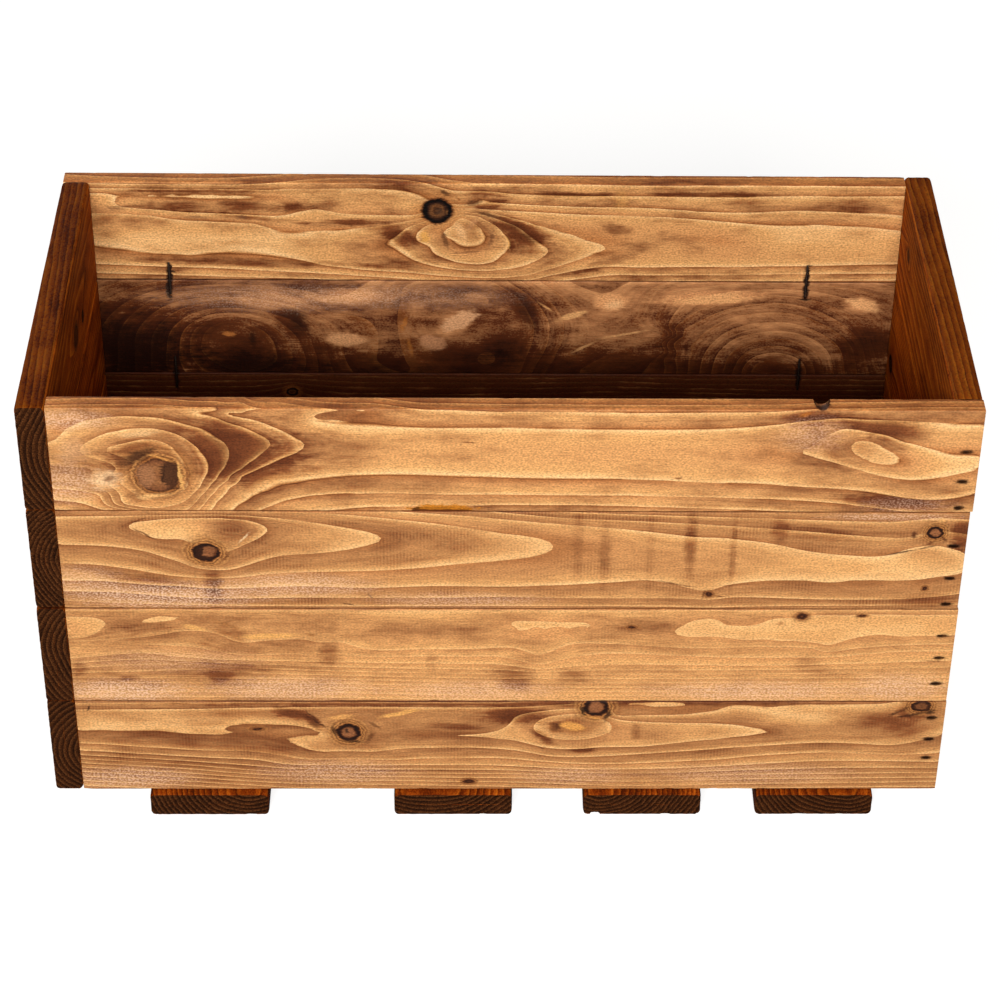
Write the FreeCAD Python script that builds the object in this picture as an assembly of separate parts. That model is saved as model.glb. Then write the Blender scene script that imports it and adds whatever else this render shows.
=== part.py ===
"""A timber trough planter: four courses of boards lapped in turn round the corners, on four cross slats.

Millimetres. X runs along the trough with the right-hand end at +X, Y runs from the front wall to the back
wall and Z is up. The origin is on the ground, below the middle of the trough.
"""

import FreeCAD, Part
import os

# Overall sizes of the four walls
trough_length = 700.0
trough_depth = 320.0
course_count = 4

# Planed board stock. A side board is one of the front or back wall.
board_width = 94.0
side_board_thickness = 15.0
side_board_arris_radius = 1.5
end_board_thickness = 22.0
end_board_arris_radius = 3.5

# How far short of flush the boards are sawn, at most, and each course's share of that from the top down
saw_scatter = 1.6
front_scatter_shares = (0.0, 1.0, 0.45, 0.2)
right_scatter_shares = (0.35, 0.0, 0.7, 0.25)
back_scatter_shares = (0.5, 0.15, 0.0, 0.8)
left_scatter_shares = (0.2, 0.6, 0.0, 0.4)

# Cross slats under the walls, which are the feet too. Centres are shares of half the trough's length.
slat_width = 94.0
slat_thickness = 22.0
slat_overhang = 6.0
slat_arris_radius = 4.0
slat_centre_shares = (-0.653, -0.101, 0.329, 0.721)

# Floor boards, laid lengthwise on the slats inside the walls
floor_board_count = 3
floor_board_thickness = 15.0
floor_arris_radius = 1.5
floor_gap = 1.5
floor_end_clearance = 1.0

# Wire staples: the crown lies sunk in its slot and the legs run through one board into the next
staple_wire = 1.2
staple_sink = 1.5
staple_point = 1.6
corner_staple_crown = 6.0
corner_staple_leg = 38.0
corner_drop_shares = ((0.40, 0.69, 0.95), (0.34, 0.67, 0.94), (0.28, 0.52, 0.80), (0.18, 0.42, 0.63))
base_staple_crown = 6.0
base_staple_leg = 38.0
base_spread_share = 0.3
floor_staple_crown = 6.0
floor_staple_leg = 28.0

# Wide staples on the inside that tie one course to the next. Places are shares of half the trough's length.
tie_staple_crown = 33.0
tie_staple_cover = 3.0
tie_centre_shares = (-0.770, 0.726)

# Round hollow that a lost knot leaves in the front rim, sloping down from the front face to the inner one
rim_notch_radius = 6.4
rim_notch_front_depth = 0.7
rim_notch_inner_depth = 5.1
rim_notch_share = 0.662

# Every cutting tool stands this far out of the face that it cuts
cut_overrun = 2.0

half_length = trough_length / 2
half_depth = trough_depth / 2
wall_foot = slat_thickness
rim = wall_foot + course_count * board_width
floor_top = slat_thickness + floor_board_thickness
side_middle = half_depth - side_board_thickness / 2
end_middle = half_length - end_board_thickness / 2
inner_front = side_board_thickness - half_depth
inner_back = half_depth - side_board_thickness
inner_left = end_board_thickness - half_length
inner_right = half_length - end_board_thickness
slat_centres = [share * half_length for share in slat_centre_shares]
tie_centres = [share * half_length for share in tie_centre_shares]

ALONG = FreeCAD.Vector(1, 0, 0)
BACKWARD = FreeCAD.Vector(0, 1, 0)
UP = FreeCAD.Vector(0, 0, 1)


def course_top(course):
    """Height of a course's upper edge. Course 0 is the one at the rim."""
    return rim - course * board_width


def eased_board(low, high, grain, radius):
    """A board that fills the box from low to high, with the four edges along its grain rounded."""
    size = high - low
    board = Part.makeBox(size.x, size.y, size.z, low)
    long_edges = [edge for edge in board.Edges if abs(edge.tangentAt(edge.FirstParameter).dot(grain)) > 0.9]
    return board.makeFillet(radius, long_edges).Solids[0]


def bent_wire(seat, drive, across, crown, leg, rise):
    """The U of a staple with its crown's outer face on seat, driven along drive with the crown along across.

    rise stretches the crown back out along the way it came, which turns the wire into the slot that it fits.
    """
    half = crown / 2
    inner = half - staple_wire
    outline = (
        (-half, -rise),
        (half, -rise),
        (half, leg - staple_point),
        (inner, leg),
        (inner, staple_wire),
        (-inner, staple_wire),
        (-inner, leg),
        (-half, leg - staple_point),
    )
    thick = drive.cross(across) * staple_wire
    corners = [seat - thick / 2 + across * side + drive * deep for side, deep in outline]
    return Part.Face(Part.makePolygon(corners + corners[:1])).extrude(thick)


def staple(face_point, drive, across, crown, leg):
    """A driven staple below a point of the board's face, and the slot that it leaves in the boards."""
    seat = face_point + drive * staple_sink
    wire = bent_wire(seat, drive, across, crown, leg, 0)
    slot = bent_wire(seat, drive, across, crown, leg, staple_sink + cut_overrun)
    return wire, slot


def front_boards():
    """The front wall. Its boards butt on the left end boards and lap over the right ones."""
    boards = {}
    for course in range(course_count):
        top = course_top(course)
        short = saw_scatter * front_scatter_shares[course]
        low = FreeCAD.Vector(inner_left, -half_depth, top - board_width)
        high = FreeCAD.Vector(half_length - short, inner_front, top)
        boards[f"front_board_{course + 1}"] = eased_board(low, high, ALONG, side_board_arris_radius)
    boards["front_board_1"] = boards["front_board_1"].cut(rim_notch())
    return boards


def rim_notch():
    """The sloping round bar that leaves the lost knot's hollow in the front rim."""
    place = rim_notch_share * half_length
    axis_height = rim + rim_notch_radius
    front = FreeCAD.Vector(place, -half_depth, axis_height - rim_notch_front_depth)
    inner = FreeCAD.Vector(place, inner_front, axis_height - rim_notch_inner_depth)
    slope = (inner - front).normalize()
    overrun = rim_notch_radius + cut_overrun
    length = inner.distanceToPoint(front) + 2 * overrun
    return Part.makeCylinder(rim_notch_radius, length, front - slope * overrun, slope)


def back_boards():
    """The back wall. Its boards lap over the left end boards and butt on the right ones."""
    boards = {}
    for course in range(course_count):
        top = course_top(course)
        short = saw_scatter * back_scatter_shares[course]
        low = FreeCAD.Vector(short - half_length, inner_back, top - board_width)
        high = FreeCAD.Vector(inner_right, half_depth, top)
        boards[f"back_board_{course + 1}"] = eased_board(low, high, ALONG, side_board_arris_radius)
    return boards


def left_end_boards():
    """The left end, whose front ends show their end grain beside the front wall."""
    boards = {}
    for course in range(course_count):
        top = course_top(course)
        short = saw_scatter * left_scatter_shares[course]
        low = FreeCAD.Vector(-half_length, short - half_depth, top - board_width)
        high = FreeCAD.Vector(inner_left, inner_back, top)
        boards[f"left_end_board_{course + 1}"] = eased_board(low, high, BACKWARD, end_board_arris_radius)
    return boards


def right_end_boards():
    """The right end, whose back ends show their end grain beside the back wall."""
    boards = {}
    for course in range(course_count):
        top = course_top(course)
        short = saw_scatter * right_scatter_shares[course]
        low = FreeCAD.Vector(inner_right, inner_front, top - board_width)
        high = FreeCAD.Vector(half_length, half_depth - short, top)
        boards[f"right_end_board_{course + 1}"] = eased_board(low, high, BACKWARD, end_board_arris_radius)
    return boards


def base_slats():
    """The cross slats that the walls and the floor stand on, each a little longer than the trough is deep."""
    slats = {}
    reach = half_depth + slat_overhang
    for number, centre in enumerate(slat_centres, start=1):
        low = FreeCAD.Vector(centre - slat_width / 2, -reach, 0)
        high = FreeCAD.Vector(centre + slat_width / 2, reach, slat_thickness)
        slats[f"base_slat_{number}"] = eased_board(low, high, BACKWARD, slat_arris_radius)
    return slats


def floor_rows():
    """The width that fills the floor with even gaps, and each floor board's front edge."""
    inside = inner_back - inner_front
    width = (inside - (floor_board_count + 1) * floor_gap) / floor_board_count
    pitch = width + floor_gap
    return width, [inner_front + floor_gap + number * pitch for number in range(floor_board_count)]


def floor_boards():
    """The floor, with a drain gap beside each board."""
    boards = {}
    width, fronts = floor_rows()
    for number, front in enumerate(fronts, start=1):
        low = FreeCAD.Vector(inner_left + floor_end_clearance, front, slat_thickness)
        high = FreeCAD.Vector(inner_right - floor_end_clearance, front + width, floor_top)
        boards[f"floor_board_{number}"] = eased_board(low, high, ALONG, floor_arris_radius)
    return boards


def corner_staples(corner_x, corner_y, drive, across):
    """One corner's staples, three to a board, on the upright line through the middle of the ends behind."""
    pairs = []
    for course in range(course_count):
        for share in corner_drop_shares[course]:
            point = FreeCAD.Vector(corner_x, corner_y, course_top(course) - share * board_width)
            pairs.append(staple(point, drive, across, corner_staple_crown, corner_staple_leg))
    return pairs


def all_corner_staples():
    """The staples of the four corners, each driven through the wall that laps the other there."""
    return {
        "front_right_corner_staples": corner_staples(end_middle, -half_depth, BACKWARD, ALONG),
        "front_left_corner_staples": corner_staples(-half_length, -side_middle, ALONG, BACKWARD),
        "back_left_corner_staples": corner_staples(-end_middle, half_depth, -BACKWARD, ALONG),
        "back_right_corner_staples": corner_staples(half_length, side_middle, -ALONG, BACKWARD),
    }


def tie_staples(inner_face, drive):
    """Wide upright staples on a long wall's inner face, one leg in each of two neighbouring courses."""
    pairs = []
    leg = side_board_thickness - staple_sink - tie_staple_cover
    for course in range(1, course_count):
        for centre in tie_centres:
            point = FreeCAD.Vector(centre, inner_face, course_top(course))
            pairs.append(staple(point, drive, UP, tie_staple_crown, leg))
    return pairs


def base_staples():
    """Staples driven up through the slats into the lowest board of each long wall, two at each crossing."""
    pairs = []
    for centre in slat_centres:
        for side in (-1, 1):
            for wall in (-side_middle, side_middle):
                point = FreeCAD.Vector(centre + side * base_spread_share * slat_width, wall, 0)
                pairs.append(staple(point, UP, ALONG, base_staple_crown, base_staple_leg))
    return pairs


def floor_staples():
    """Staples driven down through each floor board into each slat."""
    pairs = []
    width, fronts = floor_rows()
    for centre in slat_centres:
        for front in fronts:
            point = FreeCAD.Vector(centre, front + width / 2, floor_top)
            pairs.append(staple(point, -UP, BACKWARD, floor_staple_crown, floor_staple_leg))
    return pairs


def slotted(board, slots):
    """The board with every slot that reaches it cut out."""
    reaching = [slot for slot in slots if slot.BoundBox.intersect(board.BoundBox)]
    if not reaching:
        return board
    return board.cut(reaching).Solids[0]


def build():
    """Every piece of the trough by name: timber as one solid each, and like staples as a group."""
    timber = {}
    for wall in (front_boards, back_boards, left_end_boards, right_end_boards, base_slats, floor_boards):
        timber.update(wall())
    runs = all_corner_staples()
    runs["front_tie_staples"] = tie_staples(inner_front, -BACKWARD)
    runs["back_tie_staples"] = tie_staples(inner_back, BACKWARD)
    runs["base_staples"] = base_staples()
    runs["floor_staples"] = floor_staples()
    slots = [slot for pairs in runs.values() for wire, slot in pairs]
    pieces = {name: slotted(board, slots) for name, board in timber.items()}
    for name, pairs in runs.items():
        pieces[name] = Part.makeCompound([wire for wire, slot in pairs])
    return pieces


os.makedirs("parts", exist_ok=True)
for piece_name, shape in build().items():
    shape.exportStep(f"parts/{piece_name}.step")
    print(piece_name, "solids:", len(shape.Solids), "mm3:", round(shape.Volume), "valid:", shape.isValid())
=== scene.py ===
"""The finish of a stained softwood trough planter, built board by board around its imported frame.

The four walls are boards lapped in turn round the corners, held by wire staples and standing on cross slats.
Places on a board are written in millimetres: along is measured from the middle of the trough, and across from
the board's own middle line, upward or to the right.
"""

import logging
import math
import random
from dataclasses import dataclass, field, replace
from enum import Enum, IntEnum
from typing import Any, Iterable, Sequence

import bmesh
import bpy
import numpy as np
from bmesh.types import BMesh
from bpy.types import Material, Mesh, Node, NodeTree, Object
from mathutils import Euler, Matrix, Vector, noise


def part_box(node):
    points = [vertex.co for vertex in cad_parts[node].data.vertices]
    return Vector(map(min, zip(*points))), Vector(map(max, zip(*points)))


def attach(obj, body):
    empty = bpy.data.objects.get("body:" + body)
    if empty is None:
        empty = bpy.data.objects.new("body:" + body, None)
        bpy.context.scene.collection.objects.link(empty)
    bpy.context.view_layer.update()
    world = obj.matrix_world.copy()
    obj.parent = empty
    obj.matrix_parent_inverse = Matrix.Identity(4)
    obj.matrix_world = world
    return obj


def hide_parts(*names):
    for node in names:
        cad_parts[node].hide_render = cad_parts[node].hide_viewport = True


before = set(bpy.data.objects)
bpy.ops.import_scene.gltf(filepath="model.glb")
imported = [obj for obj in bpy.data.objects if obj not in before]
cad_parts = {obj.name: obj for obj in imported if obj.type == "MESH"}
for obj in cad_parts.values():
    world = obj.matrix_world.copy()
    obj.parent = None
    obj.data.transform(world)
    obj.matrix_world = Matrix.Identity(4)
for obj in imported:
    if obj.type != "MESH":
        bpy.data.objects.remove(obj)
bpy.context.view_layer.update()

LOG = logging.getLogger("trough_planter")
MM = 0.001
BODY = "root"

Ramp = tuple[tuple[float, str], ...]
Pair = tuple[float, float]
Triple = tuple[float, float, float]


class Axis(IntEnum):
    """The three directions of the frame: along the trough, front to back, and up."""

    X = 0
    Y = 1
    Z = 2


class KnotKind(Enum):
    """What a sawn branch looks like: its colours and cover, from the heart at 0 to the halo at 1."""

    LIVE = ((0.0, "7e4c2a", 1.0), (0.2, "8c5a34", 1.0), (0.4, "744426", 1.0), (0.45, "3c1c0c", 1.0),
            (0.49, "9a5e2c", 0.95), (0.53, "4e280f", 0.9), (0.59, "c4864a", 0.8), (0.64, "70401e", 0.7),
            (0.74, "c0844a", 0.4), (1.0, "b0703a", 0.0))
    DEAD = ((0.0, "5a3418", 1.0), (0.1, "3a1e0e", 1.0), (0.2, "6e4424", 1.0), (0.3, "321a0e", 1.0),
            (0.38, "080302", 1.0), (0.46, "0a0402", 1.0), (0.51, "5e3014", 0.9), (0.58, "a0622e", 0.5),
            (1.0, "a8662e", 0.0))
    RINGED = ((0.0, "64381e", 1.0), (0.08, "8c5836", 1.0), (0.22, "84502e", 1.0), (0.29, "3c1a0a", 1.0),
              (0.34, "1a0903", 1.0), (0.42, "260e04", 1.0), (0.46, "6e3c1a", 0.95), (0.5, "b87a40", 0.9),
              (0.54, "5a2e12", 0.9), (0.6, "b67c42", 0.8), (0.66, "6c3a1a", 0.7), (0.74, "b88046", 0.5),
              (0.82, "804e28", 0.35), (1.0, "b0703a", 0.0))
    SPIKE = ((0.0, "6a381c", 1.0), (0.18, "281006", 1.0), (0.36, "4a2410", 1.0), (0.52, "8a5228", 0.8),
             (0.66, "5e3014", 0.5), (0.8, "b57a3c", 0.3), (1.0, "b9763c", 0.0))


@dataclass(frozen=True)
class Spot:
    """An elliptical spot on a board: its middle, and its half sizes along and across the grain."""

    along: float
    across: float
    half_length: float
    half_height: float


@dataclass(frozen=True)
class Knot(Spot):
    """A branch that the saw has cut through.

    The grain swings round it: rings is how many years' lines it pushes aside, over the reach given in mm.
    """

    kind: KnotKind
    rings: float = 1.5
    reach: float = 3.0
    tilt: float = 0.0


@dataclass(frozen=True)
class Swell(Spot):
    """A place where the rings bulge towards the sawn face, which closes their lines into an eye or tongue."""

    rings: float
    tilt: float = 0.0


@dataclass(frozen=True)
class Stain(Spot):
    """A soft-edged place that took more of the stain, or less of it where the strength is negative."""

    strength: float
    tilt: float = 0.0


@dataclass(frozen=True)
class Mark(Spot):
    """A place of another colour over the show face's grain, such as a split, torn fibres or bare wood."""

    colour: str
    strength: float = 0.8
    softness: float = 0.8
    tilt: float = 0.0
    depth: float = 0.0


@dataclass(frozen=True)
class YearLine:
    """A growth line as it shows on the face: the year that ends there, and the points that it passes.

    Years count outward from the pith. A broken number sets the time of year at a place between two lines. The
    points stand in order, each as its place along and then across the board.
    """

    year: float
    points: tuple[float, ...]


class GrowthMap:
    """Counts the years all over a face from the growth lines that are known.

    Between the lines the count runs as a thin plate would that is bent to pass through them. Distances along
    the grain count for less than those across it, because figure is drawn out that way.
    """

    stretch: float = 2.0
    unit: float = 50.0
    slack: float = 2e-4
    sample_gap: float = 9.0

    def __init__(self, lines: Sequence[YearLine]) -> None:
        """Bends the plate.

        Args:
            lines: The known growth lines.
        """
        places, years = [], []
        for line in lines:
            for place in self._smooth(line.points):
                places.append(place)
                years.append(line.year)
        self.known = self._scaled(np.array(places))
        count = len(years)
        system = np.zeros((count + 3, count + 3))
        system[:count, :count] = self._bend(self.known, self.known) + self.slack * np.eye(count)
        system[:count, count] = 1.0
        system[:count, count + 1:] = self.known
        system[count:, :count] = system[:count, count:].T
        self.weights = np.linalg.solve(system, np.concatenate([years, np.zeros(3)]))

    def _scaled(self, places: np.ndarray) -> np.ndarray:
        """Turns millimetres into the plate's own units."""
        return places / (self.unit * self.stretch, self.unit)

    @staticmethod
    def _bend(places: np.ndarray, known: np.ndarray) -> np.ndarray:
        """Gives the pull of each known place on each place of a thin plate."""
        square = ((places[:, None, :] - known[None, :, :]) ** 2).sum(2)
        return 0.5 * square * np.log(np.maximum(square, 1e-12))

    def _smooth(self, points: Sequence[float]) -> list[np.ndarray]:
        """Runs a smooth curve through a line's points.

        Args:
            points: Along and across of each point in turn, in mm.

        Returns:
            Places close together along the curve.
        """
        line = np.array(points, float).reshape(-1, 2)
        ends = line
        if len(line) > 1:
            ends = np.vstack([2 * line[:1] - line[1:2], line, 2 * line[-1:] - line[-2:-1]])
        out = [line[0]]
        for before, start, end, after in zip(ends, ends[1:], ends[2:], ends[3:]):
            span = np.abs((end - start) / (self.stretch, 1.0)).max()
            count = max(1, round(span / self.sample_gap))
            for share in np.arange(1, count + 1) / count:
                out.append(0.5 * (2 * start + (end - before) * share
                                  + (2 * before - 5 * start + 4 * end - after) * share ** 2
                                  + (3 * start - before - 3 * end + after) * share ** 3))
        return out

    def years(self, places: np.ndarray) -> np.ndarray:
        """Counts the years at each place.

        Args:
            places: Along and across in mm.

        Returns:
            The count at each place.
        """
        scaled = self._scaled(places)
        flat = np.column_stack([np.ones(len(scaled)), scaled])
        found = [self._bend(part, self.known) @ self.weights[:-3] for part in np.array_split(scaled, 40)]
        return np.concatenate(found) + flat @ self.weights[-3:]

    def write(self, mesh: Mesh, lie: "Lie") -> None:
        """Writes the count of years, and how many lie in one mm, to each vertex of a board.

        Args:
            mesh: The board's mesh in metres.
            lie: How the board lies.
        """
        corners = np.empty(len(mesh.vertices) * 3)
        mesh.vertices.foreach_get("co", corners)
        corners = corners.reshape(-1, 3) / MM
        places = np.column_stack([corners[:, lie.along], corners[:, lie.across] - lie.middle])
        years = self.years(places)
        slopes = [self.years(places + step) - years for step in ((1.0, 0.0), (0.0, 1.0))]
        for name, values in (("years", years), ("density", np.hypot(*slopes))):
            attribute = mesh.attributes.new(name, "FLOAT", "POINT")
            attribute.data.foreach_set("value", values.astype(np.float32))


@dataclass(frozen=True)
class Figure:
    """How one board was cut from its log, which decides the lines on its faces.

    The pith lies pith_depth behind the show face and pith_height from the board's middle line, and lean is
    how much it climbs along the board. ring_width is one year's growth, and phase shifts all lines outward.
    wander is how far the lines stray, over the stretch of wander_length. They fade at the blurs, and the
    painted_sheens are painted highlights: pale speckled sheen where raised fibres catch the light. Where
    lines are given, they say where the growth lines run on the show face, and the pith only how they go on
    through the board.
    """

    seed: int
    ring_width: float = 6.0
    pith_depth: float = 40.0
    pith_height: float = 0.0
    lean: float = 0.0
    phase: float = 0.0
    wander: float = 3.0
    wander_length: float = 150.0
    take: float = 0.35
    patchiness: float = 0.8
    chatter: float = 0.25
    line_contrast: float = 1.0
    lines: tuple[YearLine, ...] = ()
    swells: tuple[Swell, ...] = ()
    knots: tuple[Knot, ...] = ()
    blurs: tuple[Stain, ...] = ()
    stains: tuple[Stain, ...] = ()
    painted_sheens: tuple[Stain, ...] = ()
    marks: tuple[Mark, ...] = ()


def oval(along: float, across: float, half_length: float, half_height: float) -> tuple[float, ...]:
    """Gives points round an ellipse, for a growth line that closes on itself.

    Args:
        along: Its middle along the board, in mm.
        across: Its middle across the board.
        half_length: Its half size along the board.
        half_height: Its half size across the board.

    Returns:
        Along and across of each point in turn.
    """
    points: list[float] = []
    for number in range(13):
        turn = math.pi * number / 6
        points += [along + half_length * math.cos(turn), across + half_height * math.sin(turn)]
    return tuple(points)


@dataclass(frozen=True)
class Finish:
    """A softwood's stained surface. Its ramps run over a year, from spring growth at 0 to late wood at 1."""

    name: str
    clean: Ramp
    stained: Ramp
    end_grain: Ramp
    soaked: str
    # Painted shade, multiplied into the narrow edge faces and rims of a board.
    edge_shade_tint: str
    flecks: str
    iron: str
    speckle: float
    roughness: float
    roughness_spread: float
    specular: float
    coat: float
    relief: float
    knot_tint: str = "ffffff"


# Planed redwood pine under one coat of oak wood stain. The dense late wood sheds the stain, so the yearly
# lines stay golden and bright while the spring growth beside them goes brown, with a thin dark line where
# they meet.
PLANED_PINE = Finish(
    name="oak_stained_planed_pine",
    clean=((0.0, "7c421c"), (0.04, "b0703e"), (0.3, "cc9058"), (0.7, "d79f62"), (0.84, "e5b174"),
           (0.93, "eec086"), (0.98, "b67a44"), (1.0, "7c421c")),
    stained=((0.0, "3c1606"), (0.05, "5e2c12"), (0.35, "6e3a1c"), (0.66, "844a26"), (0.82, "b07642"),
             (0.92, "d8a062"), (0.97, "a0622e"), (1.0, "4a2210")),
    end_grain=((0.0, "2a150a"), (0.5, "3a2010"), (0.85, "50301c"), (1.0, "301a0d")),
    soaked="4a200b",
    edge_shade_tint="eed6c2",
    flecks="5a2e18",
    iron="1e0b04",
    speckle=0.4,
    roughness=0.5,
    roughness_spread=0.22,
    specular=0.14,
    coat=0.03,
    relief=0.6,
)

# The same board stock where the log was burred: wild spring growth drank the stain, and only the patches of
# hard resinous wood stayed tan. Its smoky red black is partly that stain and partly painted shade: the warm
# dark of bounce light in the shadow of the front wall.
BURRED_PINE_PAINTED_SHADE = replace(
    PLANED_PINE,
    name="oak_stained_burred_pine_painted_shade",
    clean=((0.0, "7c4622"), (0.08, "a86c40"), (0.5, "c08454"), (0.85, "d89c66"), (1.0, "90582e")),
    stained=((0.0, "1a0702"), (0.08, "341204"), (0.45, "4c200a"), (0.7, "623012"), (0.88, "965a2a"),
             (0.95, "6e3814"), (1.0, "200902")),
    soaked="160401",
    speckle=1.0,
)

# Thicker rough-planed redwood pine, soaked with the same stain until it turned a deep red brown. Its lines
# are only a little lighter than the wood between them, and the open end grain has gone nearly black.
SOAKED_PINE = Finish(
    name="dark_stained_rough_planed_pine",
    clean=((0.0, "742c05"), (0.1, "9a440a"), (0.5, "b85c14"), (0.85, "ce741e"), (1.0, "843a07")),
    stained=((0.0, "3a1101"), (0.1, "581d01"), (0.5, "782e03"), (0.85, "9c4809"), (1.0, "4a1701")),
    end_grain=((0.0, "1a0b04"), (0.45, "321808"), (0.8, "4e2c14"), (1.0, "200e05")),
    soaked="1e0903",
    edge_shade_tint="b4b4b4",
    flecks="1e0a04",
    iron="0c0503",
    speckle=2.2,
    roughness=0.55,
    roughness_spread=0.25,
    specular=0.05,
    coat=0.0,
    relief=0.8,
    knot_tint="9c7f74",
)

# Sawn whitewood floor boards with the stain brushed on thin: dull, fuzzy and dark, as they are hidden in use.
SAWN_WHITEWOOD = replace(SOAKED_PINE, name="thin_stained_sawn_whitewood", roughness=0.72, relief=1.0)


def linear(colour: str) -> tuple[float, float, float, float]:
    """Turns an sRGB hex colour into linear light.

    Args:
        colour: Six hex digits, red first.

    Returns:
        Red, green, blue and an alpha of one, ready for a colour socket.
    """
    parts = [int(colour[start:start + 2], 16) / 255 for start in (0, 2, 4)]
    return (*[c / 12.92 if c <= 0.04045 else ((c + 0.055) / 1.055) ** 2.4 for c in parts], 1.0)


def add(tree: NodeTree, kind: str, *inputs: Any, **settings: Any) -> Node:
    """Adds a shader node with its settings, input values and links.

    Args:
        tree: The node tree that gets the node.
        kind: Blender's name for the kind of node, without the ShaderNode that they all start with. What it
            works out follows after a dot, if there is a choice.
        *inputs: Values, sockets or nodes for the inputs in order, or one dictionary of them by name. A node
            stands for the first output that it has in use.
        **settings: The node's own properties.

    Returns:
        The new node.
    """
    kind, _, operation = kind.partition(".")
    node = tree.nodes.new("ShaderNode" + kind)
    if operation:
        node.operation = operation
    for key, value in settings.items():
        setattr(node, key, value)
    given = inputs[0] if inputs and isinstance(inputs[0], dict) else dict(enumerate(inputs))
    for key, value in given.items():
        if isinstance(value, Node):
            value = next(output for output in value.outputs if output.enabled)
        if isinstance(value, bpy.types.NodeSocket):
            tree.links.new(value, node.inputs[key])
        else:
            node.inputs[key].default_value = value
    return node


def set_ramp(node: Node, stops: Iterable[Sequence[Any]]) -> Node:
    """Fills a colour ramp.

    Args:
        node: A colour ramp node, as new.
        stops: Place, hex colour and, if it isn't fully opaque, alpha of each stop, in order.

    Returns:
        The same node.
    """
    elements = node.color_ramp.elements
    stops = list(stops)
    while len(elements) < len(stops):
        elements.new(1.0)
    for element, (place, colour, *alpha) in zip(elements, stops):
        element.position = place
        element.color = (*linear(colour)[:3], *(alpha or (1.0,)))
    return node


@dataclass(frozen=True)
class Lie:
    """How a board lies in the frame: which way its grain, width and depth run, and from where they count."""

    along: Axis
    across: Axis
    depth: Axis
    middle: float
    face: float
    inward: float

    def offset(self) -> Triple:
        """Works out the shift that brings the board's middle line and show face to zero.

        Returns:
            The shift in mm.
        """
        shift = [0.0, 0.0, 0.0]
        shift[self.across] = -self.middle
        shift[self.depth] = -self.face
        return (shift[0], shift[1], shift[2])


@dataclass(frozen=True)
class NailMark(Spot):
    """The black mark round a staple, with how deep in the board its middle lies."""

    depth: float


def new_material(name: str) -> tuple[Material, NodeTree]:
    """Starts a material that has no nodes yet.

    Args:
        name: Its name.

    Returns:
        The material and its node tree.
    """
    material = bpy.data.materials.new(name)
    material.use_nodes = True
    material.node_tree.nodes.clear()
    return material, material.node_tree


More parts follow.
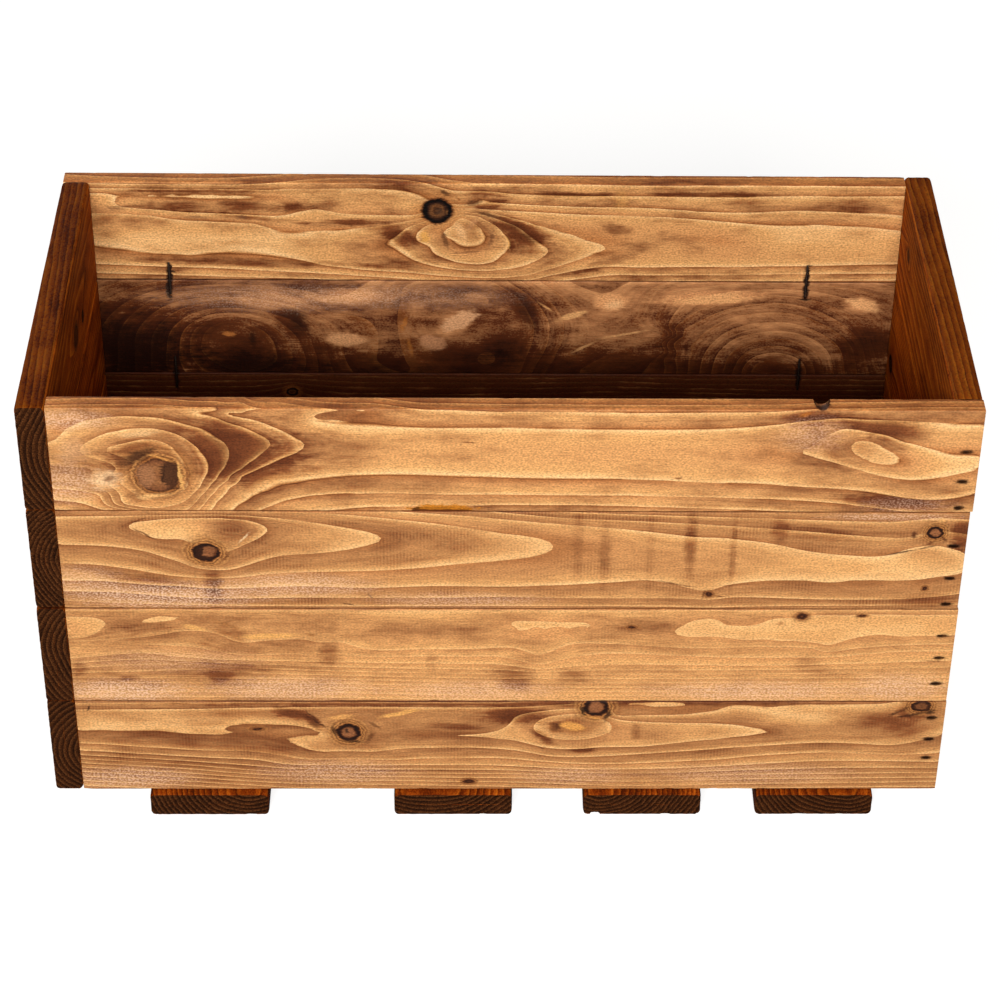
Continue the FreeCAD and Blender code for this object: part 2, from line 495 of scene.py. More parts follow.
@dataclass
class StainedTimber:
    """The stained surface of one board, with its own growth rings, knots and blotches.

    Each size is the length and width of a pattern in mm. Fibres, pores and speckles are finer than the
    picture can show, so their widths are drawn as coarse as they need to be to show at all. Once material()
    runs, board is a node with the place on the board in mm, rough the same place with an uneven run, and
    rings the count of years out from the pith.
    """

    finish: Finish
    figure: Figure
    lie: Lie
    nails: tuple[NailMark, ...] = ()
    fibre_size: Pair = (26.0, 1.1)
    pore_size: Pair = (3.4, 1.2)
    speckle_size: Pair = (1.7, 1.15)
    lump_size: Pair = (8.0, 5.0)
    ragged_size: Pair = (9.0, 4.0)
    fade_size: Pair = (90.0, 22.0)
    cloud_size: Pair = (46.0, 17.0)
    fleck_size: Pair = (8.0, 2.0)
    wander_width: float = 42.0
    strands_in_ring: float = 5.0
    chatter_pitch: float = 2.5
    edge_line: float = 0.9

    def material(self, name: str, joints: tuple[float | None, float | None]) -> Material:
        """Makes the board's material.

        Args:
            name: The name of the board.
            joints: Where the board meets a neighbour across its width, in mm: below and above.

        Returns:
            A material whose colour, roughness and bump all come from the board's own grain.
        """
        material, self.tree = new_material(f"{self.finish.name}_{name}")
        self._find_place()
        self.fibres = self._streaks(self.fibre_size, 3.0)
        self.pores = self._streaks(self.pore_size, 1.0)
        self.speckle = self._streaks(self.speckle_size, 0.5)
        self.lumps = self._streaks(self.lump_size, 2.0)
        self._count_rings()
        self._draw_strands()
        colour = self._face_colour(self._stain_take())
        colour = self._knots(colour)
        colour = self._marks(colour)
        colour = self._texture_colour(colour)
        colour = self._edge_lines(colour, joints)
        colour = self._end_grain(colour)
        self._surface(self._nail_marks(colour))
        return material

    def _add(self, kind: str, *inputs: Any, **settings: Any) -> Node:
        """Adds a node to this material."""
        return add(self.tree, kind, *inputs, **settings)

    def _find_place(self) -> None:
        """Turns frame metres into board millimetres, and gives outlines their uneven run."""
        lie = self.lie
        coordinates = self._add("TexCoord")
        scaled = self._add("VectorMath.MULTIPLY_ADD", coordinates.outputs["Object"], (1 / MM,) * 3,
                           lie.offset())
        parts = self._add("SeparateXYZ", scaled)
        depth = self._add("Math.MULTIPLY", parts.outputs[lie.depth], lie.inward)
        self.board = self._add("CombineXYZ", parts.outputs[lie.along], parts.outputs[lie.across], depth)
        self.unevenness = self._pattern(self.ragged_size, (self.figure.seed * 3.7, 0, 0), 3.0)
        swing = self._add("VectorMath.MULTIPLY_ADD", self.unevenness.outputs["Color"], (5.0, 2.6, 0.0),
                          (-2.5, -1.3, 0.0))
        self.rough = self._add("VectorMath.ADD", self.board, swing)

    def _mapped_rings(self, drift: Node) -> tuple[Node, Node]:
        """Takes the years from the board's growth map, and carries them on through its thickness.

        Args:
            drift: Slow noise that makes the lines stray.

        Returns:
            The count of years, and how clearly they show: narrow years run together.
        """
        figure = self.figure
        years = self._add("Attribute", attribute_name="years").outputs["Fac"]
        density = self._add("Attribute", attribute_name="density").outputs["Fac"]
        ragged = 3.2
        stray = self._add("Math.MULTIPLY_ADD", drift, 2 * figure.wander, -figure.wander - ragged / 2)
        stray = self._add("Math.MULTIPLY_ADD", self.unevenness, ragged, stray)
        count = self._add("Math.MULTIPLY_ADD", stray, density, years)
        parts = self._add("SeparateXYZ", self.board)
        level = self._add("Math.SUBTRACT", parts.outputs[1], figure.pith_height)
        deep = self._add("Math.ADD", parts.outputs[2], figure.pith_depth)
        here = self._add("CombineXYZ", 0.0, level, deep)
        face = self._add("CombineXYZ", 0.0, level, figure.pith_depth)
        here = self._add("VectorMath.LENGTH", here)
        face = self._add("VectorMath.LENGTH", face)
        inward = self._add("Math.SUBTRACT", here, face)
        count = self._add("Math.MULTIPLY_ADD", inward, 1 / figure.ring_width, count)
        shows = self._add("MapRange", density, 0.07, 0.24, 1.0, 0.35)
        return count, shows

    def _count_rings(self) -> None:
        """Counts the years from the pith to each place, and from that the time of year at which it grew."""
        figure = self.figure
        stretch = (figure.wander_length, self.wander_width)
        drift = self._pattern(stretch, (figure.seed * 7.3, 0, 0), 2.5, 0.45)
        shows = None
        if figure.lines:
            count, shows = self._mapped_rings(drift)
        else:
            count = self._log_rings(drift)
        for swell in figure.swells:
            place = self._ellipse(swell)
            square = self._add("VectorMath.DOT_PRODUCT", place, place)
            fall = self._add("Math.MULTIPLY", square, -1.0)
            hump = self._add("Math.EXPONENT", fall)
            count = self._add("Math.MULTIPLY_ADD", hump, -swell.rings, count)
        for knot in figure.knots:
            place = self._ellipse(knot, knot.reach)
            square = self._add("VectorMath.DOT_PRODUCT", place, place)
            beyond = self._add("Math.ADD", square, 1.0)
            hump = self._add("Math.DIVIDE", knot.rings, beyond)
            count = self._add("Math.SUBTRACT", count, hump)
        self.rings = count
        middle_of_year = 0.6
        fade = self._pattern(self.fade_size, (0, figure.seed, 5), 2.0, 0.5)
        clear = self._add("MapRange", fade, 0.36, 0.5, 0.65 * figure.line_contrast, figure.line_contrast)
        if shows:
            clear = self._add("Math.MULTIPLY", clear, shows)
        for blur in figure.blurs:
            cover = self._cover(blur, -blur.strength)
            kept = self._add("Math.ADD", cover, 1.0)
            clear = self._add("Math.MULTIPLY", clear, kept)
        raw = self._add("Math.FRACT", count)
        swung = self._add("Math.SUBTRACT", raw, middle_of_year)
        self.season = self._add("Math.MULTIPLY_ADD", swung, clear, middle_of_year)

    def _log_rings(self, drift: Node) -> Node:
        """Counts the years from the pith's place alone, for a board whose growth lines nobody has drawn.

        Args:
            drift: Slow noise that makes the lines stray.

        Returns:
            The count of years.
        """
        figure = self.figure
        span = 2 * figure.wander
        swing = self._add("VectorMath.MULTIPLY_ADD", drift.outputs["Color"], (0, span, span),
                          (0, -span / 2, figure.pith_depth - span / 2))
        bent = self._add("VectorMath.ADD", self.rough, swing)
        parts = self._add("SeparateXYZ", bent)
        across = self._add("Math.MULTIPLY_ADD", parts.outputs[0], -figure.lean, parts.outputs[1])
        level = self._add("Math.SUBTRACT", across, figure.pith_height)
        spoke = self._add("CombineXYZ", 0.0, level, parts.outputs[2])
        radius = self._add("VectorMath.LENGTH", spoke)
        return self._add("Math.MULTIPLY_ADD", radius, 1 / figure.ring_width, 20 + figure.phase)

    def _ellipse(self, spot: Spot, reach: float = 1.0, half_depth: float = 400.0) -> Node:
        """Measures the place on the board from the middle of an elliptical spot.

        Args:
            spot: The spot, which may also have a tilt and a depth.
            reach: How many times the spot's own size counts as one.
            half_depth: Its half size through the board. Most spots go right through, as a branch does.

        Returns:
            Node with the place, one unit long at the spot's edge times reach.
        """
        return self._add("Mapping", {
            "Vector": self.rough,
            "Location": (spot.along, spot.across, getattr(spot, "depth", 0.0)),
            "Rotation": (0.0, 0.0, math.radians(getattr(spot, "tilt", 0.0))),
            "Scale": (spot.half_length * reach, spot.half_height * reach, half_depth),
        }, vector_type="TEXTURE")

    def _cover(self, spot: Spot, strength: float, uneven: float = 0.5, outside: float = 1.0,
               inside: float = 0.2, half_depth: float = 400.0) -> Node:
        """Works out how strongly a spot covers each place.

        Args:
            spot: The spot.
            strength: Full cover.
            uneven: How ragged the spot's outline is, as a share of its size.
            outside: Distance at which the cover starts, where 1 is the spot's edge.
            inside: Distance at which it is full.
            half_depth: The spot's half size through the board.

        Returns:
            Node with the cover.
        """
        far = self._add("VectorMath.LENGTH", self._ellipse(spot, half_depth=half_depth))
        ragged = self._add("Math.MULTIPLY_ADD", self.lumps, uneven, far)
        streaky = self._add("Math.MULTIPLY_ADD", self.fibres, uneven, ragged)
        return self._add("MapRange", streaky, outside + uneven, inside + uneven, 0.0, strength,
                         interpolation_type="SMOOTHSTEP")

    def _pattern(self, size: Pair, shift: Triple, detail: float, strength: float = 0.6) -> Node:
        """Draws an uneven pattern that is drawn out along the grain.

        Args:
            size: Length and width of its streaks or patches in mm.
            shift: Picks the part of the endless pattern that the board gets.
            detail: How many finer layers it has.
            strength: How strong the finer layers are.

        Returns:
            Node with a value about one half.
        """
        length, width = size
        place = self._add("VectorMath.MULTIPLY_ADD", self.board, (1 / length, 1 / width, 1 / width), shift)
        return self._add("TexNoise", {"Vector": place, "Scale": 1.0, "Detail": detail, "Roughness": strength})

    def _streaks(self, size: Pair, detail: float) -> Node:
        """Draws streaks that run with the grain."""
        return self._pattern(size, (self.figure.seed * 1.9, size[0], 0), detail)

    def _draw_strands(self) -> None:
        """Draws the finer lines within each year, which bend with the rings."""
        parts = self._add("SeparateXYZ", self.rough)
        slow = self._add("Math.MULTIPLY", parts.outputs[0], 1 / 60)
        level = self._add("Math.MULTIPLY", parts.outputs[1], 1 / 16)
        lines = self._add("Math.MULTIPLY", self.rings, self.strands_in_ring)
        place = self._add("CombineXYZ", slow, lines, level)
        self.strands = self._add("TexNoise", {"Vector": place, "Scale": 1.0, "Detail": 3.5,
                                              "Roughness": 0.65})

    def _stain_take(self) -> Node:
        """Works out how much of the stain the wood took.

        Returns:
            Node with 0 for none, 1 for a full coat and more where it soaked in.
        """
        figure = self.figure
        year = self._add("Math.FLOOR", self.rings)
        tone = self._add("TexWhiteNoise", {"W": year}, noise_dimensions="1D")
        cloud = self._pattern(self.cloud_size, (figure.seed * 5.1, 3, 0), 4.5, 0.65)
        spread = 3.6 * figure.patchiness
        take = self._add("Math.MULTIPLY_ADD", cloud, spread, figure.take - spread / 2)
        for stain in figure.stains:
            cover = self._cover(stain, stain.strength)
            take = self._add("Math.ADD", cover, take)
        parts = self._add("SeparateXYZ", self.board)
        turn = self._add("Math.MULTIPLY", parts.outputs[0], 2 * math.pi / self.chatter_pitch)
        ripple = self._add("Math.SINE", turn)
        patch = self._add("Math.SUBTRACT", cloud, 0.45)
        patch = self._add("Math.MULTIPLY", patch, 0.75 * figure.chatter)
        take = self._add("Math.MULTIPLY_ADD", ripple, patch, take)
        grain = self._add("CombineXYZ", tone, self.strands, self.speckle)
        weights = (0.35, 0.85, self.finish.speckle)
        uneven = self._add("VectorMath.DOT_PRODUCT", grain, weights)
        take = self._add("Math.ADD", take, uneven)
        return self._add("Math.SUBTRACT", take, sum(weights) / 2)

    def _face_colour(self, take: Node) -> Node:
        """Colours the wood by the time of year at which it grew.

        Args:
            take: How much of the stain it took.

        Returns:
            Node with the colour.
        """
        clean = set_ramp(self._add("ValToRGB", self.season), self.finish.clean)
        stained = set_ramp(self._add("ValToRGB", self.season), self.finish.stained)
        coat = self._add("Clamp", take)
        colour = self._add("MixRGB", coat, clean, stained)
        over = self._add("MapRange", take, 0.9, 2.0, 0.0, 0.9)
        return self._add("MixRGB", over, colour, linear(self.finish.soaked))

    def _knots(self, colour: Node) -> Node:
        """Lays the knots into the surface, each a heart with its own fine rings and a halo.

        Args:
            colour: The colour so far.

        Returns:
            Node with the new colour.
        """
        halo = 2.0
        lumpy_share, torn_share = 0.09, 0.1
        for knot in self.figure.knots:
            place = self._ellipse(knot, halo)
            far = self._add("VectorMath.LENGTH", place)
            lumpy = self._add("Math.MULTIPLY_ADD", self.lumps, lumpy_share, far)
            torn = self._add("Math.MULTIPLY_ADD", self.pores, torn_share, lumpy)
            level = self._add("Math.SUBTRACT", torn, (lumpy_share + torn_share) / 2)
            ramp = set_ramp(self._add("ValToRGB", level), knot.kind.value)
            tinted = self._add("VectorMath.MULTIPLY", ramp, linear(self.finish.knot_tint)[:3])
            colour = self._add("MixRGB", ramp.outputs["Alpha"], colour, tinted)
        return colour

    def _texture_colour(self, colour: Node) -> Node:
        """Adds what fibres, pores and flecks do to the colour, and paints in the sheens: pale speckled
        highlights where raised fibres catch the light.

        Args:
            colour: The colour so far.

        Returns:
            Node with the new colour.
        """
        grain = self._add("CombineXYZ", self.fibres, self.pores, self.speckle)
        weights = (0.35, 0.4, 1.15)
        total = self._add("VectorMath.DOT_PRODUCT", grain, weights)
        half = sum(weights) / 2
        light = self._add("MapRange", total, half - 0.5, half + 0.5, 0.45, 1.55)
        colour = self._add("VectorMath.SCALE", {0: colour, 3: light})
        # Painted highlight: each sheen mixes a pale pinkish colour into the speckle's bright flecks, for
        # light caught by raised fibres.
        for sheen in self.figure.painted_sheens:
            cover = self._cover(sheen, sheen.strength)
            sheen_fleck = self._add("MapRange", self.speckle, 0.44, 0.64, 0.1)
            both = self._add("Math.MULTIPLY", cover, sheen_fleck)
            colour = self._add("MixRGB", both, colour, linear("e6c0a4"))
        fleck = self._pattern(self.fleck_size, (self.figure.seed, 9, 0), 1.0, 0.5)
        some = self._add("MapRange", fleck, 0.73, 0.83, 0.0, 0.35)
        return self._add("MixRGB", some, colour, linear(self.finish.flecks))

    def _marks(self, colour: Node) -> Node:
        """Lays splits, torn places and bare patches over the show face.

        Args:
            colour: The colour so far.

        Returns:
            Node with the new colour.
        """
        skin = 9.0
        for mark in self.figure.marks:
            cover = self._cover(mark, mark.strength, 0.8, 1.0, 1.0 - mark.softness, skin)
            colour = self._add("MixRGB", cover, colour, linear(mark.colour))
        return colour

    def _edge_lines(self, colour: Node, joints: tuple[float | None, float | None]) -> Node:
        """Darkens the edges that meet a neighbour, where the stain ran together.

        Args:
            colour: The colour so far.
            joints: Where the neighbours are, in mm: below and above.

        Returns:
            Node with the new colour.
        """
        parts = self._add("SeparateXYZ", self.board)
        wobble = 1.6
        for joint in joints:
            if joint is None:
                continue
            side = math.copysign(1.0, joint)
            reach = self._add("Math.MULTIPLY", parts.outputs[1], side)
            uneven = self._add("Math.MULTIPLY_ADD", self.fibres, wobble, reach)
            edge = abs(joint) + wobble / 2
            line = self._add("MapRange", uneven, edge - self.edge_line, edge, 0.0, 0.85)
            colour = self._add("MixRGB", line, colour, linear(self.finish.soaked))
        return colour

    def _end_grain(self, colour: Node) -> Node:
        """Paints shade a little on the narrow edge faces, the rims among them, by the way they face, and
        deepens the ends a lot, because open end grain soaks up the most stain.

        Args:
            colour: The colour so far.

        Returns:
            Node with the new colour.
        """
        geometry = self._add("NewGeometry")
        facing = self._add("SeparateXYZ", geometry.outputs["True Normal"])
        # Painted shade: the narrow edge faces, the rims among them, are darkened and warmed by the way they
        # face.
        sideways = self._add("Math.ABSOLUTE", facing.outputs[self.lie.across])
        sawn = self._add("MapRange", sideways, 0.6, 0.85)
        colour = self._add("MixRGB", sawn, colour, linear(self.finish.edge_shade_tint), blend_type="MULTIPLY")
        turned = self._add("Math.ABSOLUTE", facing.outputs[self.lie.along])
        self.ends = self._add("MapRange", turned, 0.6, 0.85)
        ramp = set_ramp(self._add("ValToRGB", self.season), self.finish.end_grain)
        light = self._add("MapRange", self.speckle, 0.3, 0.7, 0.5, 1.6)
        grain = self._add("VectorMath.SCALE", {0: ramp, 3: light})
        return self._add("MixRGB", self.ends, colour, grain)

    def _nail_marks(self, colour: Node) -> Node:
        """Blackens the wood round each staple, where its iron met the damp stain.

        Args:
            colour: The colour so far.

        Returns:
            Node with the new colour.
        """
        for mark in self.nails:
            cover = self._cover(mark, 0.96, 0.7, 1.3, 0.5, 6.0)
            colour = self._add("MixRGB", cover, colour, linear(self.finish.iron))
        return colour

    def _surface(self, colour: Node) -> None:
        """Joins colour, gloss and relief into the shader.

        Args:
            colour: The finished colour.
        """
        finish = self.finish
        spread = finish.roughness_spread
        gloss = self._add("Math.MULTIPLY_ADD", self.fibres, spread, finish.roughness - spread / 2)
        gloss = self._add("Math.MULTIPLY_ADD", self.pores, spread, gloss)
        rough = self._add("Math.MULTIPLY_ADD", self.ends, 0.3, gloss, use_clamp=True)
        height = self._add("Math.MULTIPLY_ADD", self.pores, 1.2, self.fibres)
        bump = self._add("Bump", {"Strength": finish.relief, "Distance": 0.5 * MM, "Height": height})
        shader = self._add("BsdfPrincipled", {"Base Color": colour, "Roughness": rough, "IOR": 1.5,
                                              "Specular IOR Level": finish.specular,
                                              "Coat Weight": finish.coat, "Coat Roughness": 0.32,
                                              "Normal": bump})
        self._add("OutputMaterial", {"Surface": shader})


@dataclass(frozen=True)
class Chip:
    """A scoop broken or torn out of a board, in mm in the frame."""

    middle: Triple
    half_size: Triple
    seed: int = 1


@dataclass
class Plank:
    """One board as it leaves the bench: planed, eased along its edges, sawn at its ends and a little uneven.

    It fills its place in the frame and nothing stands out of it, so every dent and ripple goes inward.
    """

    node: str
    lie: Lie
    arris: float
    step: float = 3.2
    end_arris: float = 0.7
    ripple: float = 0.22
    saw_roughness: float = 0.3
    dent: float = 0.5
    arris_steps: int = 4
    joined_below: bool = False
    joined_above: bool = False
    low: Vector = field(init=False)
    high: Vector = field(init=False)

    def __post_init__(self) -> None:
        """Takes the board's corners from the frame, in mm."""
        low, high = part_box(self.node)
        self.low, self.high = low / MM, high / MM

    def joints(self) -> tuple[float | None, float | None]:
        """Finds where the board meets others across its width: the joint below and the one above, if any."""
        half_width = (self.high[self.lie.across] - self.low[self.lie.across]) / 2
        return (-half_width if self.joined_below else None, half_width if self.joined_above else None)

    def _ring(self, inset: float) -> tuple[np.ndarray, np.ndarray]:
        """Goes once round the board's section.

        Args:
            inset: How far inside the true outline to go, in mm.

        Returns:
            Points across and through the board, and the outward directions there.
        """
        lie = self.lie
        half = np.array([(self.high[axis] - self.low[axis]) / 2 - inset for axis in (lie.across, lie.depth)])
        radius = max(self.arris - inset, 0.05)
        core = half - radius
        points, normals = [], []
        counts = (self._run_count(lie.depth), self._run_count(lie.across))
        for corner in range(4):
            signs = np.array([(1, 1), (-1, 1), (-1, -1), (1, -1)][corner])
            start = corner * math.pi / 2
            for number in range(self.arris_steps + 1):
                turn = start + number / self.arris_steps * math.pi / 2
                normal = np.array([math.cos(turn), math.sin(turn)])
                points.append(core * signs + radius * normal)
                normals.append(normal)
            following = np.array([(-1, 1), (-1, -1), (1, -1), (1, 1)][corner])
            normal = np.array([math.cos(start + math.pi / 2), math.sin(start + math.pi / 2)])
            count = counts[(corner + 1) % 2]
            for number in range(1, count):
                share = 0.5 - 0.5 * math.cos(math.pi * number / count)
                middle = core * signs * (1 - share) + core * following * share
                points.append(middle + radius * normal)
                normals.append(normal)
        return np.array(points), np.array(normals)

    def _run_count(self, axis: Axis) -> int:
        """How many steps a flat side of the section takes."""
        return max(4, round((self.high[axis] - self.low[axis]) / self.step * 1.3))

    def _stations(self) -> list[Pair]:
        """Lists where the section is drawn.

        Returns:
            Place along the board and inset of each ring, from the middle of one end to that of the other.
        """
        lie = self.lie
        first, last = self.low[lie.along], self.high[lie.along]
        deepest = (self.high[lie.depth] - self.low[lie.depth]) / 2 - 0.1
        ease = self.end_arris
        insets = [deepest, *[inset for inset in (8.0, 5.5, 3.5, 2.0) if ease < inset < deepest - 0.5], ease]
        count = round((last - first - 2 * ease) / self.step)
        inner = [first + ease + (last - first - 2 * ease) * number / count for number in range(count + 1)]
        opening = [(first, inset) for inset in insets] + [(first + 0.3 * ease, 0.3 * ease)]
        closing = [(last - 0.3 * ease, 0.3 * ease)] + [(last, inset) for inset in reversed(insets)]
        return opening + [(place, 0.0) for place in inner] + closing

    def _sunk(self, place: Vector, normal: Vector, edge: float, end: float) -> float:
        """Works out how far the surface lies under its true plane.

        Args:
            place: Place in the frame in mm.
            normal: Outward direction there.
            edge: 1 on an eased edge and 0 on a flat side.
            end: 1 on a sawn end and 0 elsewhere.

        Returns:
            Depth in mm, never negative.
        """
        slow = noise.noise(place / 37.0 + normal * 9.0)
        depth = self.ripple * (0.5 + 0.5 * slow)
        if edge:
            knock = noise.noise(place / 9.0 + Vector((5.0, 1.0, 2.0)))
            depth += self.dent * max(0.0, knock - 0.25) * 2.0
        if end:
            depth += self.saw_roughness * (0.5 + 0.5 * noise.noise(place / 1.9))
        return depth

    def shape(self) -> Object:
        """Builds the board.

        Returns:
            The board's object, with its place in its mesh.
        """
        lie = self.lie
        middle = (self.low + self.high) / 2
        stations = self._stations()
        points: list[Vector] = []
        length = self.high[lie.along] - self.low[lie.along]
        for place, inset in stations:
            ring, normals = self._ring(inset)
            cap = inset > 0.5 * self.end_arris
            side = -1.0 if place < middle[lie.along] else 1.0
            for (across, through), (normal_a, normal_b) in zip(ring, normals):
                point, normal = Vector(), Vector()
                point[lie.along] = place
                point[lie.across] = middle[lie.across] + across
                point[lie.depth] = middle[lie.depth] + through
                if cap:
                    normal[lie.along] = side
                else:
                    normal[lie.across], normal[lie.depth] = normal_a, normal_b
                edge = min(abs(normal_a), abs(normal_b)) > 0.2
                nearness = abs(place - middle[lie.along]) > length / 2 - 2 * self.end_arris
                points.append(point - normal * self._sunk(point, normal, float(edge), float(cap or nearness)))
        count = len(ring)
        faces: list[tuple[int, ...]] = [tuple(range(count))[::-1]]
        for number in range(len(stations) - 1):
            base = number * count
            for index in range(count):
                following = (index + 1) % count
                faces.append((base + index, base + following, base + count + following, base + count + index))
        last = (len(stations) - 1) * count
        faces.append(tuple(range(last, last + count)))
        mesh = bpy.data.meshes.new(self.node)
        mesh.from_pydata([point * MM for point in points], [], faces)
        turn = [[float(axis == row) for row in Axis] for axis in (lie.along, lie.across, lie.depth)]
        if Matrix(turn).determinant() < 0:
            mesh.flip_normals()
        board = bpy.data.objects.new(f"{self.node}_planed", mesh)
        bpy.context.scene.collection.objects.link(board)
        return board


def join_meshes(name: str, parts: Sequence[BMesh]) -> Object:
    """Makes one object of several meshes.

    Args:
        name: The object's name.
        parts: The meshes, in metres, which are freed.

    Returns:
        The object, linked into the scene.
    """
    mesh = bpy.data.meshes.new(name)
    whole = bmesh.new()
    for part in parts:
        part.to_mesh(mesh)
        part.free()
        whole.from_mesh(mesh)
    whole.to_mesh(mesh)
    whole.free()
    made = bpy.data.objects.new(name, mesh)
    bpy.context.scene.collection.objects.link(made)
    return made


def ragged_block(low: Vector, high: Vector, seed: int, tear: float) -> BMesh:
    """Makes a block with torn sides, to cut a staple's slot.

    Args:
        low: Lowest corner in mm.
        high: Highest corner in mm.
        seed: Picks the tear's shape.
        tear: How far the sides wander, in mm.

    Returns:
        The block in metres.
    """
    # Blender's vector noise starts at a new place in each session, unless it is given a seed.
    noise.seed_set(seed)
    block = bmesh.new()
    bmesh.ops.create_cube(block, size=1.0)
    bmesh.ops.subdivide_edges(block, edges=block.edges, cuts=3, use_grid_fill=True)
    middle, size = (low + high) / 2, high - low
    for vertex in block.verts:
        place = Vector(c * s for c, s in zip(vertex.co, size))
        wander = noise.noise_vector(place * 0.9 + Vector((seed * 3.1, seed, 0.0))) * tear
        vertex.co = (middle + place + wander) * MM
    return block


def torn_scoop(chip: Chip) -> BMesh:
    """Makes a rough lump, to tear a chip out of a board.

    Args:
        chip: Where the lump is and how large.

    Returns:
        The lump in metres.
    """
    lump = bmesh.new()
    bmesh.ops.create_icosphere(lump, subdivisions=4, radius=1.0)
    for vertex in lump.verts:
        direction = vertex.co.copy()
        reach = 1.0 + 0.16 * noise.noise(direction * 2.1 + Vector((chip.seed * 2.3, 0, 0)))
        reach += 0.07 * noise.noise(direction * 6.0 + Vector((0, chip.seed, 0)))
        place = Vector(m + d * h * reach for m, d, h in zip(chip.middle, direction, chip.half_size))
        vertex.co = place * MM
    return lump


def cut(board: Object, parts: Sequence[BMesh]) -> None:
    """Takes solid parts out of a board.

    Args:
        board: The board, whose mesh is replaced.
        parts: Closed meshes in metres that are cut away together, and that don't meet each other.
    """
    if not parts:
        return
    tool = join_meshes("cutting_tool", parts)
    modifier = board.modifiers.new("cut", "BOOLEAN")
    modifier.operation = "DIFFERENCE"
    modifier.solver = "EXACT"
    modifier.object = tool
    bpy.context.view_layer.update()
    evaluated = board.evaluated_get(bpy.context.evaluated_depsgraph_get())
    result = bpy.data.meshes.new_from_object(evaluated)
    board.modifiers.remove(modifier)
    board.data = result
    bpy.data.objects.remove(tool)


def finish_piece(piece: Object, node: str, material: Material,
                 sharp_angle: float = 32.0) -> None:
    """Dresses a piece and gives it its place in the frame.

    Args:
        piece: The finished shape.
        node: The frame's node that it stands for.
        material: Its surface.
        sharp_angle: Edges sharper than this many degrees stay crisp.
    """
    piece.data.materials.clear()
    piece.data.materials.append(material)
    piece.data.shade_smooth()
    piece.data.set_sharp_from_angle(angle=math.radians(sharp_angle))
    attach(piece, BODY)
    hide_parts(node)
    LOG.info("%s: %d faces, %s", piece.name, len(piece.data.polygons), material.name)


@dataclass(frozen=True)
class StapleSpot:
    """One driven staple as the frame has it, in mm: its corners and the way that it was driven."""

    low: Vector
    high: Vector
    drive: Axis
    inward: float

    @property
    def across(self) -> Axis:
        """The way that the crown runs."""
        rest = [axis for axis in Axis if axis != self.drive]
        return max(rest, key=lambda axis: self.high[axis] - self.low[axis])

    @property
    def wire(self) -> float:
        """Thickness of the wire."""
        rest = [axis for axis in Axis if axis != self.drive]
        return min(self.high[axis] - self.low[axis] for axis in rest)

    @property
    def seat(self) -> float:
        """Where the crown's outer face lies along the drive."""
        return self.low[self.drive] if self.inward > 0 else self.high[self.drive]


class StapleGroup(Enum):
    """The runs of staples: node, axis that they were driven along, and which way."""

    FRONT_RIGHT = ("front_right_corner_staples", Axis.Y, 1.0)
    FRONT_LEFT = ("front_left_corner_staples", Axis.X, 1.0)
    BACK_LEFT = ("back_left_corner_staples", Axis.Y, -1.0)
    BACK_RIGHT = ("back_right_corner_staples", Axis.X, -1.0)
    FRONT_TIES = ("front_tie_staples", Axis.Y, -1.0)
    BACK_TIES = ("back_tie_staples", Axis.Y, 1.0)
    BASE = ("base_staples", Axis.Z, 1.0)
    FLOOR = ("floor_staples", Axis.Z, -1.0)


